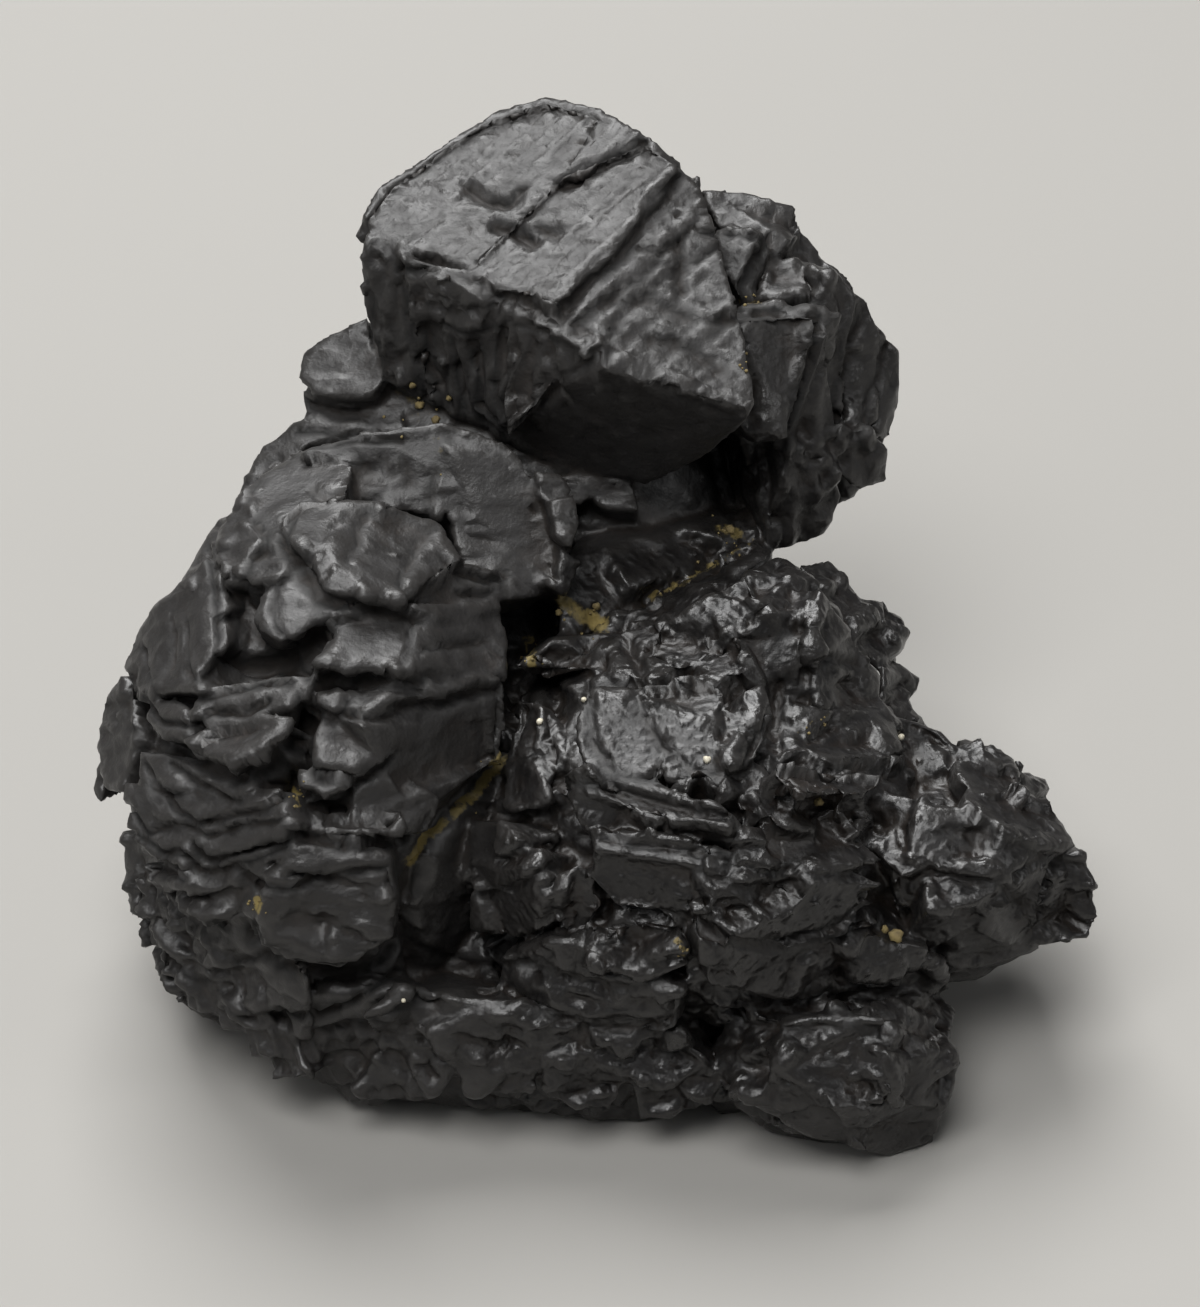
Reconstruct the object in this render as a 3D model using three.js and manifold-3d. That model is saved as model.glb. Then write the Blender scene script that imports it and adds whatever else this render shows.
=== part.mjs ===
// A prophecy stone: one cluster of intergrown crystals of iron oxide, black and satin, as the wind bares it
// on desert chalk.
// Millimetres, +Z up. The stone rests on the ground plane, with the middle of its footprint at the origin.
import * as THREE from 'three';
import { ConvexGeometry } from 'three/addons/geometries/ConvexGeometry.js';
import { mergeVertices } from 'three/addons/utils/BufferGeometryUtils.js';
import Module from 'manifold-3d';

// Driving dimensions
const GRID_STEP = 0.06; // size on the stone of one step of the sighting grid
const SIGHT_ELEVATION = 40; // degrees above the horizon from which the stone is sighted
const SIGHT_DISTANCE = 340; // from the eye to the middle of the stone
const MIDDLE_HEIGHT = 24; // height above the ground of the middle of the sighting grid
const GRID_MIDDLE = { across: 600, down: 653.5 };
const CORE_SHARE = 0.92; // size of a rounded form's inner body against the form
const GROUND_DEPTH = 100; // thickness of the block that stands for the ground when the base is cut
const SAME_POINT = 1e-4; // corners closer than this are one point of a solid
const RIM_SHARE = 0.12; // how far a form's depth formula is followed towards its rim
const STEEPEST = 1.6; // steepest slope taken from a form, in mm of depth per mm
const SLOPE_REACH = 6; // grid steps to each side over which a slope is measured
const SHORTEST_EDGE = 0.25; // corners closer together than this are one corner
const FACING_KEPT = 0.97; // cosine of the most that a face may tip when corners are drawn together
const DRAWING_PASSES = 3; // how often the whole surface is gone over to draw corners together
const REST_CUT = 0.9; // how much of the lowest points is flat where the stone rests
const PRISM_TAPER = 0.84; // width of a far crystal's outer end against its foot
const LEAN_MOST = 0.5; // most that a far crystal is turned, sideways, from its form's own direction
const RIM_LIVELY = 0.25; // how lively, from 0 to 1, crystals are where the far side meets the rim
const LEAST_LIVELY = 0.15; // and how lively the calmest are

const elevation = THREE.MathUtils.degToRad(SIGHT_ELEVATION);
const sightRight = new THREE.Vector3(1, 0, 0);
const sightUp = new THREE.Vector3(0, Math.sin(elevation), Math.cos(elevation));
const sightAway = new THREE.Vector3(0, Math.cos(elevation), -Math.sin(elevation));

// A point of the stone, from its place on the sighting grid (steps across and down) and its depth in mm.
function sighted([across, down, depth]) {
  const reach = GRID_STEP * (1 + depth / SIGHT_DISTANCE);
  return new THREE.Vector3(0, 0, MIDDLE_HEIGHT)
    .addScaledVector(sightRight, (across - GRID_MIDDLE.across) * reach)
    .addScaledVector(sightUp, (GRID_MIDDLE.down - down) * reach)
    .addScaledVector(sightAway, depth);
}

const wasm = await Module();
wasm.setup();

function solidFrom(geometry) {
  const shell = geometry.clone();
  shell.deleteAttribute('normal');
  shell.deleteAttribute('uv');
  const merged = mergeVertices(shell, SAME_POINT);
  return new wasm.Manifold(new wasm.Mesh({
    numProp: 3,
    vertProperties: new Float32Array(merged.attributes.position.array),
    triVerts: new Uint32Array(merged.index.array),
  }));
}

// A convex crystal or boulder with the given corners.
function hull(points) {
  return solidFrom(new ConvexGeometry(points));
}

// A boulder given by corners on the sighting grid, each with its own depth.
function boulder(corners) {
  return hull(corners.map(sighted));
}

// Depth of the near side of a rounded form under a place on the grid.
function surfaceDepth(form, across, down) {
  const x = ((across - form.middle[0]) * GRID_STEP) / form.across;
  const y = ((form.middle[1] - down) * GRID_STEP) / form.up;
  const left = Math.max(1 - x * x - y * y, RIM_SHARE);
  return form.depth - form.deep * Math.sqrt(left);
}

// Slope of the near side there: how the depth grows per mm to the right and per mm up.
function surfaceSlope(form, across, down) {
  const step = SLOPE_REACH;
  const sideways = surfaceDepth(form, across + step, down) - surfaceDepth(form, across - step, down);
  const upwards = surfaceDepth(form, across, down - step) - surfaceDepth(form, across, down + step);
  const span = 2 * step * GRID_STEP;
  return [
    THREE.MathUtils.clamp(sideways / span, -STEEPEST, STEEPEST),
    THREE.MathUtils.clamp(upwards / span, -STEEPEST, STEEPEST),
  ];
}

// A flat crystal face with a given outline, as thick as said, on a plane through its middle.
function slab(outline, depth, slope, thick) {
  const middle = [0, 1].map((k) => outline.reduce((sum, corner) => sum + corner[k], 0) / outline.length);
  const front = outline.map(([across, down]) => sighted([
    across,
    down,
    depth + slope[0] * (across - middle[0]) * GRID_STEP + slope[1] * (middle[1] - down) * GRID_STEP,
  ]));
  const inward = new THREE.Vector3()
    .addScaledVector(sightRight, -slope[0])
    .addScaledVector(sightUp, -slope[1])
    .addScaledVector(sightAway, 1)
    .normalize()
    .multiplyScalar(thick);
  return hull([...front, ...front.map((corner) => corner.clone().add(inward))]);
}

// A plate lying on a rounded form: it stands proud of it, and leans from the form's own slope.
function plate(form, { outline, proud = 0.7, lean = [0, 0.25], thick = 4 }) {
  const across = outline.reduce((sum, corner) => sum + corner[0], 0) / outline.length;
  const down = outline.reduce((sum, corner) => sum + corner[1], 0) / outline.length;
  const slope = surfaceSlope(form, across, down);
  return slab(
    outline,
    surfaceDepth(form, across, down) - proud,
    [slope[0] + lean[0], slope[1] + lean[1]],
    thick,
  );
}

// The rounded form itself, as a faceted body a little smaller than its plates.
function core(form) {
  const ball = new THREE.IcosahedronGeometry(CORE_SHARE, 1).attributes.position;
  const points = [];
  for (let i = 0; i < ball.count; i += 1) {
    points.push(sighted([
      form.middle[0] + (ball.getX(i) * form.across) / GRID_STEP,
      form.middle[1] - (ball.getY(i) * form.up) / GRID_STEP,
      form.depth + ball.getZ(i) * form.deep,
    ]));
  }
  return hull(points);
}

// Rounded forms that the crystals cover: middle on the grid, depth there, and half sizes in mm.
const dome = { middle: [325, 765], depth: 4, across: 13.4, up: 18.8, deep: 15.5 };
const mass = { middle: [690, 838], depth: 4.4, across: 17, up: 14.8, deep: 14.6 };
const brow = { middle: [730, 660], depth: 5, across: 8.6, up: 6, deep: 9 };
const toe = { middle: [930, 858], depth: 4, across: 9.6, up: 6.4, deep: 8 };
const foot = { middle: [830, 1065], depth: 1, across: 7.4, up: 5.2, deep: 6.5 };
const rearDome = { middle: [440, 640], depth: 14, across: 12, up: 12, deep: 11 };
const rearMiddle = { middle: [590, 500], depth: 15, across: 10.5, up: 12, deep: 10 };
const rearBase = { middle: [560, 760], depth: 17, across: 18, up: 9.8, deep: 10.4 };
const blockBack = { middle: [560, 330], depth: 7, across: 10.5, up: 9.5, deep: 10 };
const clusterBack = { middle: [784, 380], depth: 13, across: 3.6, up: 6.4, deep: 8 };
const rearFoot = { middle: [760, 760], depth: 12, across: 8.5, up: 10, deep: 10 };

// The big block on top: a blunt prism with a tilted striated top and steep dark sides.
const topBlock = [
  [361, 233, 1.6], [380, 200, 2.8], [440, 155, 3.6], [500, 112, 4.4], [545, 100, 4.6], [600, 114, 4],
  [645, 144, 3], [697, 181, 1.8], [738, 318, -2], [755, 404, -3.6], [745, 418, -4.4], [640, 370, -4.6],
  [575, 347, -4.6], [500, 289, -2.4], [398, 258, -0.4], [382, 383, 4.4], [430, 404, 3.8], [470, 414, 3.4],
  [508, 440, 2.6], [575, 479, 4.4], [635, 481, 5.4], [700, 453, 3], [742, 424, -1.6],
];
const topBlockBack = [
  [410, 350, 14], [470, 300, 16], [560, 270, 17], [650, 290, 16], [700, 330, 14], [720, 420, 12],
  [430, 400, 13],
];

// Steps, ribs and facets on the top block, each an outline with the depth of its middle and its slope.
const blockFacets = [
  { outline: [[362, 238], [398, 260], [408, 300], [424, 364], [400, 389], [383, 382], [363, 300]],
    depth: 1.2, slope: [-0.35, -0.55], thick: 3 },
  { outline: [[402, 262], [440, 276], [462, 340], [466, 408], [430, 402], [412, 330]],
    depth: 0.9, slope: [0.25, -0.6], thick: 3 },
  { outline: [[447, 279], [500, 292], [510, 330], [500, 396], [505, 436], [472, 411]],
    depth: -0.5, slope: [-0.2, -0.55], thick: 3 },
  { outline: [[525, 335], [575, 350], [556, 375], [531, 410], [508, 438], [502, 396]],
    depth: -2.4, slope: [-0.25, -0.35], thick: 3 },
  { outline: [[400, 254], [450, 270], [505, 284], [560, 306], [522, 318], [430, 290]],
    depth: -2.4, slope: [-0.1, 0.1], thick: 2.4 },
  { outline: [[366, 222], [392, 186], [482, 122], [545, 101], [600, 116], [566, 172], [470, 262], [388, 246]],
    depth: 1.1, slope: [-0.06, 0.5], thick: 2.4 },
  { outline: [[566, 172], [604, 160], [643, 143], [678, 166], [640, 236], [560, 306], [500, 290], [476, 262]],
    depth: -1.3, slope: [-0.02, 0.5], thick: 2.4 },
  { outline: [[680, 168], [702, 188], [740, 318], [753, 402], [700, 396], [640, 368], [600, 346], [640, 270]],
    depth: -2.4, slope: [0.22, 0.42], thick: 3 },
  { outline: [[598, 345], [640, 372], [742, 421], [700, 450], [620, 462], [556, 380]],
    depth: -1.5, slope: [0.1, -0.9], thick: 2 },
];

// Crystals standing behind and to the right of the block.
const rearCluster = [
  { outline: [[702, 190], [745, 191], [799, 206], [796, 232], [776, 256], [722, 236]],
    depth: 6, slope: [0.1, 0.6], thick: 9 },
  { outline: [[715, 230], [755, 228], [758, 240], [738, 296], [720, 262]],
    depth: 3.4, slope: [-0.3, 0.3], thick: 8 },
  { outline: [[755, 230], [771, 250], [762, 285], [742, 306]],
    depth: 4.4, slope: [0.9, -0.3], thick: 6 },
  { outline: [[770, 260], [800, 257], [812, 300], [760, 303]],
    depth: 4.6, slope: [0.2, 0.5], thick: 8 },
  { outline: [[738, 303], [815, 305], [842, 312], [836, 322], [745, 319]],
    depth: 2.6, slope: [0.1, 0.8], thick: 6 },
  { outline: [[743, 320], [815, 319], [812, 346], [796, 382], [784, 440], [758, 445], [740, 425], [750, 385]],
    depth: 1.2, slope: [0.35, -0.2], thick: 9 },
  { outline: [[822, 270], [842, 274], [856, 300], [850, 352], [838, 420], [822, 400], [812, 320]],
    depth: 5.2, slope: [0.6, -0.3], thick: 8 },
  { outline: [[800, 350], [822, 330], [832, 400], [826, 452], [790, 470], [786, 420]],
    depth: 4, slope: [0.9, -0.5], thick: 8 },
  { outline: [[846, 288], [870, 301], [882, 340], [876, 420], [858, 432], [848, 380]],
    depth: 7, slope: [0.8, -0.3], thick: 7 },
  { outline: [[872, 320], [900, 350], [900, 402], [890, 440], [874, 432], [868, 372]],
    depth: 9, slope: [0.9, -0.3], thick: 6 },
  { outline: [[838, 430], [872, 430], [889, 452], [888, 482], [862, 490], [832, 470]],
    depth: 7.6, slope: [0.6, -0.6], thick: 7 },
  { outline: [[788, 462], [832, 455], [842, 498], [826, 520], [826, 534], [800, 545], [768, 549], [770, 510]],
    depth: 7.4, slope: [0.5, -0.8], thick: 7 },
];
const rearClusterBody = [
  [716, 215, 7], [795, 222, 9], [850, 296, 9], [890, 350, 11], [893, 400, 12], [880, 470, 13],
  [822, 520, 13], [772, 540, 12], [735, 430, 5], [738, 318, 4], [700, 250, 18], [790, 290, 19],
  [850, 380, 20], [820, 480, 20],
];

// Lumps at the upper left, between the block and the dome.
const leftLumps = [
  { outline: [[303, 352], [320, 340], [366, 317], [384, 382], [372, 398], [316, 394], [299, 376]],
    depth: 5, slope: [-0.35, 0.35], thick: 9 },
  { outline: [[300, 394], [316, 396], [356, 406], [352, 414], [308, 412]],
    depth: 5.4, slope: [-0.3, -0.3], thick: 8 },
  { outline: [[306, 412], [356, 408], [400, 398], [404, 440], [360, 436], [330, 440], [302, 446]],
    depth: 4.8, slope: [-0.25, 0.5], thick: 9 },
  { outline: [[300, 421], [284, 430], [260, 448], [243, 482], [236, 500], [262, 478], [304, 450]],
    depth: 5.6, slope: [-0.6, 0.6], thick: 8 },
];

// Plates of the dome, from its top ridge down to its skirt.
const domePlates = [
  { outline: [[236, 498], [262, 474], [300, 452], [330, 442], [352, 470], [345, 492], [300, 500], [258, 520]],
    proud: 0.2, lean: [-0.05, 0.1] },
  { outline: [[300, 452], [340, 440], [402, 441], [440, 424], [452, 470], [440, 522], [380, 505], [340, 494]],
    proud: 0.5, lean: [0, 0.12] },
  { outline: [[440, 422], [478, 432], [508, 446], [522, 462], [536, 500], [500, 520], [448, 512]],
    proud: 0.3, lean: [0.1, 0.1] },
  { outline: [[300, 500], [380, 503], [398, 540], [402, 598], [322, 592], [312, 560], [298, 552], [282, 520]],
    proud: 0.9, lean: [0, 0.16] },
  { outline: [[392, 506], [440, 520], [462, 560], [432, 580], [402, 600], [362, 596], [366, 540]],
    proud: 1.1, lean: [0.05, 0.12] },
  { outline: [[448, 512], [500, 516], [540, 508], [556, 556], [566, 594], [512, 580], [464, 566]],
    proud: 0.5, lean: [0.15, 0.15] },
  { outline: [[235, 500], [262, 502], [282, 520], [296, 552], [278, 584], [240, 580], [216, 560], [218, 530]],
    proud: 0.2, lean: [-0.05, 0.1] },
  { outline: [[222, 524], [258, 524], [262, 545], [248, 572], [222, 574]],
    proud: 0.7, lean: [-0.05, 0.12] },
  { outline: [[300, 558], [318, 592], [346, 600], [328, 624], [280, 640], [252, 622], [262, 590], [286, 584]],
    proud: 0.8, lean: [-0.1, 0.1] },
  { outline: [[345, 599], [405, 599], [462, 562], [560, 592], [500, 604], [412, 612], [350, 614]],
    proud: 0.0, lean: [0, -0.3] },
  { outline: [[340, 622], [412, 608], [404, 645], [397, 677], [314, 672], [326, 642]],
    proud: 0.9, lean: [0, 0.1] },
  { outline: [[412, 606], [500, 600], [508, 640], [506, 680], [440, 694], [396, 680], [404, 640]],
    proud: 0.8, lean: [0.12, 0.1] },
  { outline: [[206, 554], [218, 580], [219, 655], [204, 676], [186, 662], [176, 620], [188, 576]],
    proud: 0.5, lean: [-0.1, 0.05] },
  { outline: [[160, 600], [190, 572], [178, 620], [188, 664], [200, 690], [160, 690], [146, 650], [146, 616]],
    proud: 0.7, lean: [-0.1, 0.05] },
  { outline: [[124, 668], [138, 628], [148, 616], [148, 652], [164, 690], [150, 704], [136, 700]],
    proud: 0.6, lean: [-0.1, 0.05] },
  { outline: [[97, 748], [102, 702], [122, 674], [134, 700], [140, 740], [122, 790], [104, 790]],
    proud: 0.4, lean: [-0.1, 0.05], thick: 7 },
  { outline: [[202, 690], [248, 688], [280, 676], [314, 676], [300, 704], [256, 706], [206, 724], [190, 712]],
    proud: 0.7, lean: [0, 0.25] },
  { outline: [[150, 702], [172, 700], [196, 714], [190, 736], [160, 736], [146, 720]],
    proud: 0.8, lean: [-0.05, 0.2] },
  { outline: [[187, 742], [215, 725], [252, 712], [288, 722], [276, 750], [246, 771], [220, 768], [192, 756]],
    proud: 1.5, lean: [-0.05, 0.3] },
  { outline: [[318, 690], [340, 688], [348, 706], [340, 716], [322, 712]], proud: 1.1, lean: [0, 0.2] },
  { outline: [[348, 690], [392, 692], [396, 712], [352, 716]], proud: 1, lean: [0, 0.25] },
  { outline: [[300, 770], [322, 772], [352, 782], [340, 796], [310, 796]], proud: 1.1, lean: [0, 0.3] },
  { outline: [[290, 814], [322, 812], [328, 838], [300, 842]], proud: 0.9, lean: [0, 0.35] },
  { outline: [[262, 886], [282, 862], [300, 846], [322, 862], [292, 890], [268, 900]],
    proud: 1.6, lean: [0, 0.35] },
  { outline: [[160, 890], [210, 898], [256, 890], [258, 916], [210, 924], [168, 914]],
    proud: 0.6, lean: [0, 0.3] },
  { outline: [[322, 716], [345, 722], [378, 756], [360, 774], [322, 770], [314, 740]],
    proud: 0.9, lean: [0, 0.2] },
  { outline: [[396, 694], [505, 682], [506, 726], [500, 760], [440, 800], [380, 764], [352, 722]],
    proud: 0.2, lean: [0.05, -0.25] },
  { outline: [[352, 776], [382, 762], [442, 800], [430, 832], [404, 838], [352, 812]],
    proud: 0.3, lean: [0.05, -0.15] },
  { outline: [[140, 752], [188, 756], [220, 772], [250, 776], [248, 792], [180, 790], [138, 778]],
    proud: 0.6, lean: [0, 0.3] },
  { outline: [[124, 782], [180, 796], [240, 800], [282, 790], [286, 806], [240, 822], [160, 816], [122, 800]],
    proud: 0.8, lean: [0, 0.3] },
  { outline: [[128, 812], [180, 820], [240, 826], [288, 812], [290, 830], [236, 846], [160, 840], [124, 828]],
    proud: 0.9, lean: [0, 0.3] },
  { outline: [[130, 838], [190, 846], [250, 848], [290, 836], [288, 856], [230, 868], [160, 862]],
    proud: 0.9, lean: [0, 0.3] },
  { outline: [[140, 864], [190, 870], [240, 872], [268, 862], [262, 884], [210, 894], [150, 886]],
    proud: 0.8, lean: [0, 0.3] },
  { outline: [[325, 814], [380, 808], [402, 812], [406, 830], [370, 838], [332, 840]],
    proud: 1.1, lean: [0, 0.35] },
  { outline: [[300, 846], [330, 850], [392, 866], [398, 900], [392, 940], [340, 968], [290, 962], [262, 930],
    [262, 890]], proud: 1.2, lean: [0, -0.05] },
];

// Small stacked crystals on the shoulder of the dome, and the grey one under the block.
const shoulder = [
  { outline: [[536, 470], [562, 474], [574, 490], [556, 508], [540, 496]],
    depth: -1.6, slope: [0.3, 0.3], thick: 5 },
  { outline: [[550, 500], [574, 494], [582, 520], [570, 544], [556, 536]],
    depth: -2.6, slope: [0.3, 0.2], thick: 5 },
  { outline: [[572, 484], [600, 480], [634, 486], [638, 510], [606, 508]],
    depth: 4.4, slope: [0, 0.3], thick: 6 },
  { outline: [[566, 548], [584, 562], [566, 598], [552, 586]],
    depth: -2, slope: [0.9, -0.2], thick: 5 },
];

// The dark floor and walls of the recess under the block.
const recess = [
  [[384, 388, 5], [430, 402, 4.6], [508, 436, 3.4], [560, 470, 5.4], [640, 476, 7], [700, 450, 6],
    [540, 520, 3], [420, 450, 4.4], [380, 440, 5.4], [480, 440, 18], [640, 440, 18], [400, 420, 14]],
  [[560, 560, 2], [640, 540, 7], [720, 520, 8], [780, 520, 10], [760, 600, 5], [650, 640, 2], [560, 640, 0],
    [600, 520, 12], [700, 480, 14], [700, 640, 14], [560, 620, 14]],
  [[556, 636, -1.4], [632, 634, 0.4], [644, 650, -0.6], [640, 674, -2.6], [514, 668, -4], [600, 660, 8],
    [540, 640, 6]],
  [[648, 602, 2.4], [700, 578, 2.8], [752, 540, 4.4], [770, 556, 2.6], [700, 604, -0.4], [652, 626, 0.6],
    [700, 600, 10]],
];

// Plates and lumps of the smooth wrinkled mass.
const massPlates = [
  { outline: [[590, 690], [640, 690], [662, 730], [650, 770], [602, 776], [580, 742]],
    proud: 0.8, lean: [-0.05, 0.2] },
  { outline: [[642, 682], [700, 676], [722, 690], [742, 730], [720, 768], [690, 776], [660, 740]],
    proud: 0.9, lean: [0.1, 0.2] },
  { outline: [[560, 774], [600, 768], [652, 774], [736, 812], [728, 826], [660, 800], [590, 792]],
    proud: 1.2, lean: [0, 0.35] },
  { outline: [[566, 796], [600, 792], [680, 806], [736, 830], [700, 842], [640, 832], [590, 836]],
    proud: 0.2, lean: [0, -0.25] },
  { outline: [[596, 852], [650, 856], [700, 868], [704, 900], [690, 916], [620, 906], [590, 880]],
    proud: 0.3, lean: [0, -0.1] },
  { outline: [[742, 690], [764, 684], [772, 720], [758, 758], [730, 768], [738, 730]],
    proud: 0.7, lean: [0.3, 0.1] },
  { outline: [[590, 830], [640, 832], [692, 846], [740, 850], [700, 866], [640, 858], [596, 850]],
    proud: 0.9, lean: [0, 0.4] },
  { outline: [[552, 880], [580, 870], [590, 910], [566, 934], [546, 914]], proud: 0.8, lean: [0, 0.2] },
  { outline: [[516, 700], [544, 706], [556, 752], [552, 800], [524, 812], [500, 808], [512, 760]],
    proud: -1.2, lean: [-0.3, 0.1] },
  { outline: [[468, 862], [510, 842], [540, 850], [544, 878], [504, 896], [472, 892]],
    proud: 1, lean: [-0.1, 0.35] },
  { outline: [[470, 892], [544, 880], [560, 920], [520, 940], [470, 930]], proud: 0.2, lean: [-0.1, -0.2] },
  { outline: [[420, 850], [470, 820], [500, 822], [520, 840], [470, 862], [430, 900]],
    proud: 0.2, lean: [-0.2, 0.2] },
  { outline: [[500, 960], [560, 940], [600, 960], [590, 1004], [540, 1012], [496, 996]],
    proud: 0.9, lean: [0, 0.05] },
  { outline: [[560, 966], [620, 980], [680, 990], [676, 1030], [620, 1040], [560, 1020]],
    proud: 1.1, lean: [0, 0.25] },
  { outline: [[592, 936], [640, 926], [680, 940], [690, 966], [640, 980], [596, 960]],
    proud: 0.9, lean: [0, 0.3] },
  { outline: [[420, 930], [480, 940], [500, 990], [480, 1030], [430, 1010], [404, 960]],
    proud: -0.6, lean: [-0.2, -0.1] },
  { outline: [[740, 830], [780, 820], [860, 836], [880, 860], [820, 872], [740, 860]],
    proud: 0.7, lean: [0.1, 0.3] },
  { outline: [[704, 846], [744, 852], [860, 872], [884, 884], [840, 900], [760, 890], [706, 872]],
    proud: 1, lean: [0.1, 0.35] },
  { outline: [[700, 872], [750, 886], [830, 896], [876, 902], [850, 920], [780, 918], [716, 906]],
    proud: 1.2, lean: [0.1, 0.35] },
  { outline: [[690, 906], [740, 916], [790, 926], [860, 916], [850, 934], [790, 948], [730, 936]],
    proud: 1.5, lean: [0.1, 0.4] },
  { outline: [[700, 940], [760, 946], [800, 952], [880, 936], [930, 950], [900, 990], [800, 1000],
    [710, 986]],
    proud: 0.3, lean: [0.1, -0.3] },
  { outline: [[780, 764], [830, 770], [886, 772], [866, 792], [820, 800], [784, 790]],
    proud: 2, lean: [0.1, 0.4] },
  { outline: [[776, 792], [800, 800], [862, 794], [872, 830], [820, 838], [784, 822]],
    proud: 0.9, lean: [0.1, -0.2] },
  { outline: [[690, 776], [722, 772], [760, 762], [780, 790], [770, 822], [738, 812]],
    proud: 0.1, lean: [0.1, 0.1] },
];
const browPlates = [
  { outline: [[660, 626], [700, 600], [744, 574], [760, 600], [730, 640], [680, 660], [650, 650]],
    proud: 0.6, lean: [-0.2, 0.1], thick: 5 },
  { outline: [[744, 574], [776, 554], [820, 584], [812, 606], [770, 620], [752, 600]],
    proud: 0.8, lean: [0, 0.1], thick: 6 },
  { outline: [[730, 640], [770, 616], [812, 602], [830, 640], [820, 690], [780, 700], [740, 680]],
    proud: 0.7, lean: [0.1, -0.1], thick: 5 },
  { outline: [[822, 588], [830, 608], [852, 640], [880, 674], [876, 702], [820, 706], [812, 640]],
    proud: 0.8, lean: [0.2, -0.1], thick: 6 },
  { outline: [[650, 650], [684, 654], [740, 680], [720, 690], [640, 684], [636, 666]],
    proud: 0.6, lean: [-0.1, 0.1], thick: 5 },
  { outline: [[800, 700], [850, 696], [880, 706], [884, 740], [860, 772], [800, 764], [776, 740]],
    proud: 1, lean: [0.1, 0.1], thick: 5 },
];
const toePlates = [
  { outline: [[884, 716], [920, 722], [942, 730], [956, 746], [960, 770], [930, 800], [890, 780], [870, 740]],
    proud: 0.6, lean: [0, 0.1], thick: 5 },
  { outline: [[956, 746], [990, 742], [1012, 758], [1024, 780], [1010, 790], [966, 794], [958, 770]],
    proud: 0.5, lean: [0, 0.1], thick: 5 },
  { outline: [[962, 794], [1012, 789], [1004, 822], [966, 826]], proud: 1.2, lean: [0, 0.2] },
  { outline: [[950, 830], [1000, 828], [996, 852], [988, 876], [958, 874]], proud: 1.2, lean: [0, 0.15] },
  { outline: [[1010, 784], [1050, 800], [1076, 846], [1050, 860], [1010, 830]],
    proud: 0.8, lean: [0, 0.1], thick: 5 },
  { outline: [[1000, 826], [1040, 846], [1050, 868], [1030, 912], [1004, 900], [992, 870]],
    proud: 1, lean: [0.1, 0] },
  { outline: [[1048, 866], [1084, 852], [1094, 898], [1102, 916], [1090, 940], [1040, 948], [1034, 906]],
    proud: 1, lean: [0.4, -0.3], thick: 6 },
  { outline: [[880, 790], [930, 800], [962, 810], [950, 860], [900, 876], [870, 850]],
    proud: 0.9, lean: [0, 0.15] },
  { outline: [[890, 876], [950, 868], [990, 880], [986, 904], [940, 912], [896, 908]],
    proud: 0.9, lean: [0, -0.2] },
  { outline: [[930, 908], [986, 904], [1036, 912], [1040, 948], [1002, 952], [982, 980], [930, 986],
    [900, 950]],
    proud: 0.4, lean: [0, -0.5], thick: 5 },
];
const footPlates = [
  { outline: [[704, 1060], [720, 1035], [742, 1002], [780, 1016], [790, 1060], [760, 1096], [720, 1090]],
    proud: 0.4, lean: [-0.1, 0], thick: 5 },
  { outline: [[742, 998], [800, 996], [872, 1004], [884, 1020], [800, 1022], [744, 1014]],
    proud: 1.3, lean: [0, 0.5], thick: 5 },
  { outline: [[780, 1024], [860, 1022], [890, 1040], [880, 1100], [820, 1110], [786, 1070]],
    proud: 0.9, lean: [0, -0.1], thick: 5 },
  { outline: [[872, 1000], [940, 990], [957, 1010], [950, 1050], [910, 1050], [880, 1030]],
    proud: 0.6, lean: [0.1, 0], thick: 6 },
  { outline: [[886, 1052], [950, 1048], [958, 1080], [946, 1110], [900, 1104]],
    proud: 0.8, lean: [0.1, 0], thick: 6 },
  { outline: [[744, 1100], [800, 1082], [830, 1110], [866, 1152], [812, 1140]],
    proud: 0.6, lean: [-0.1, 0], thick: 6 },
  { outline: [[830, 1108], [900, 1104], [944, 1112], [930, 1150], [900, 1160], [866, 1152]],
    proud: 0.6, lean: [0, -0.1], thick: 6 },
];

// Lumps that show behind the mass on the right.
const rearLumps = [
  [[800, 566, 5], [830, 560, 7], [860, 598, 7], [830, 600, 4], [836, 640, 3], [800, 600, 9], [850, 640, 14]],
  [[830, 600, 5], [862, 598, 7], [882, 603, 8], [904, 622, 9], [900, 652, 9], [880, 672, 5], [850, 640, 3.5],
    [850, 640, 14], [890, 660, 13]],
  [[880, 668, 4], [896, 662, 7], [920, 678, 8], [917, 690, 8], [906, 706, 7], [880, 704, 3], [880, 690, 14],
    [910, 690, 13]],
  [[870, 704, 2], [908, 700, 6], [914, 718, 6], [880, 716, 1.4], [880, 710, 12], [930, 728, 10],
    [900, 760, 12]],
];

// The underside between dome, mass and foot, down to the ground.
const belly = [
  [[300, 990, -5], [360, 980, -6], [430, 1000, -5.6], [560, 1030, -6], [680, 1030, -5.6], [704, 1064, -3],
    [735, 1098, 0], [640, 1122, 2], [520, 1100, 1], [350, 1098, 2], [310, 1076, 2], [300, 960, 14],
    [520, 930, 16], [700, 960, 14]],
  [[680, 930, -9], [880, 930, -6], [940, 960, -2], [950, 990, 1], [900, 1010, 0], [720, 1010, -6],
    [690, 990, -7.6], [700, 900, 12], [900, 920, 10]],
  [[150, 900, 3], [262, 900, -9], [309, 978, -8.4], [313, 1038, -3], [240, 1030, 4], [186, 1000, 5],
    [200, 900, 16], [306, 920, 16]],
];

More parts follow.
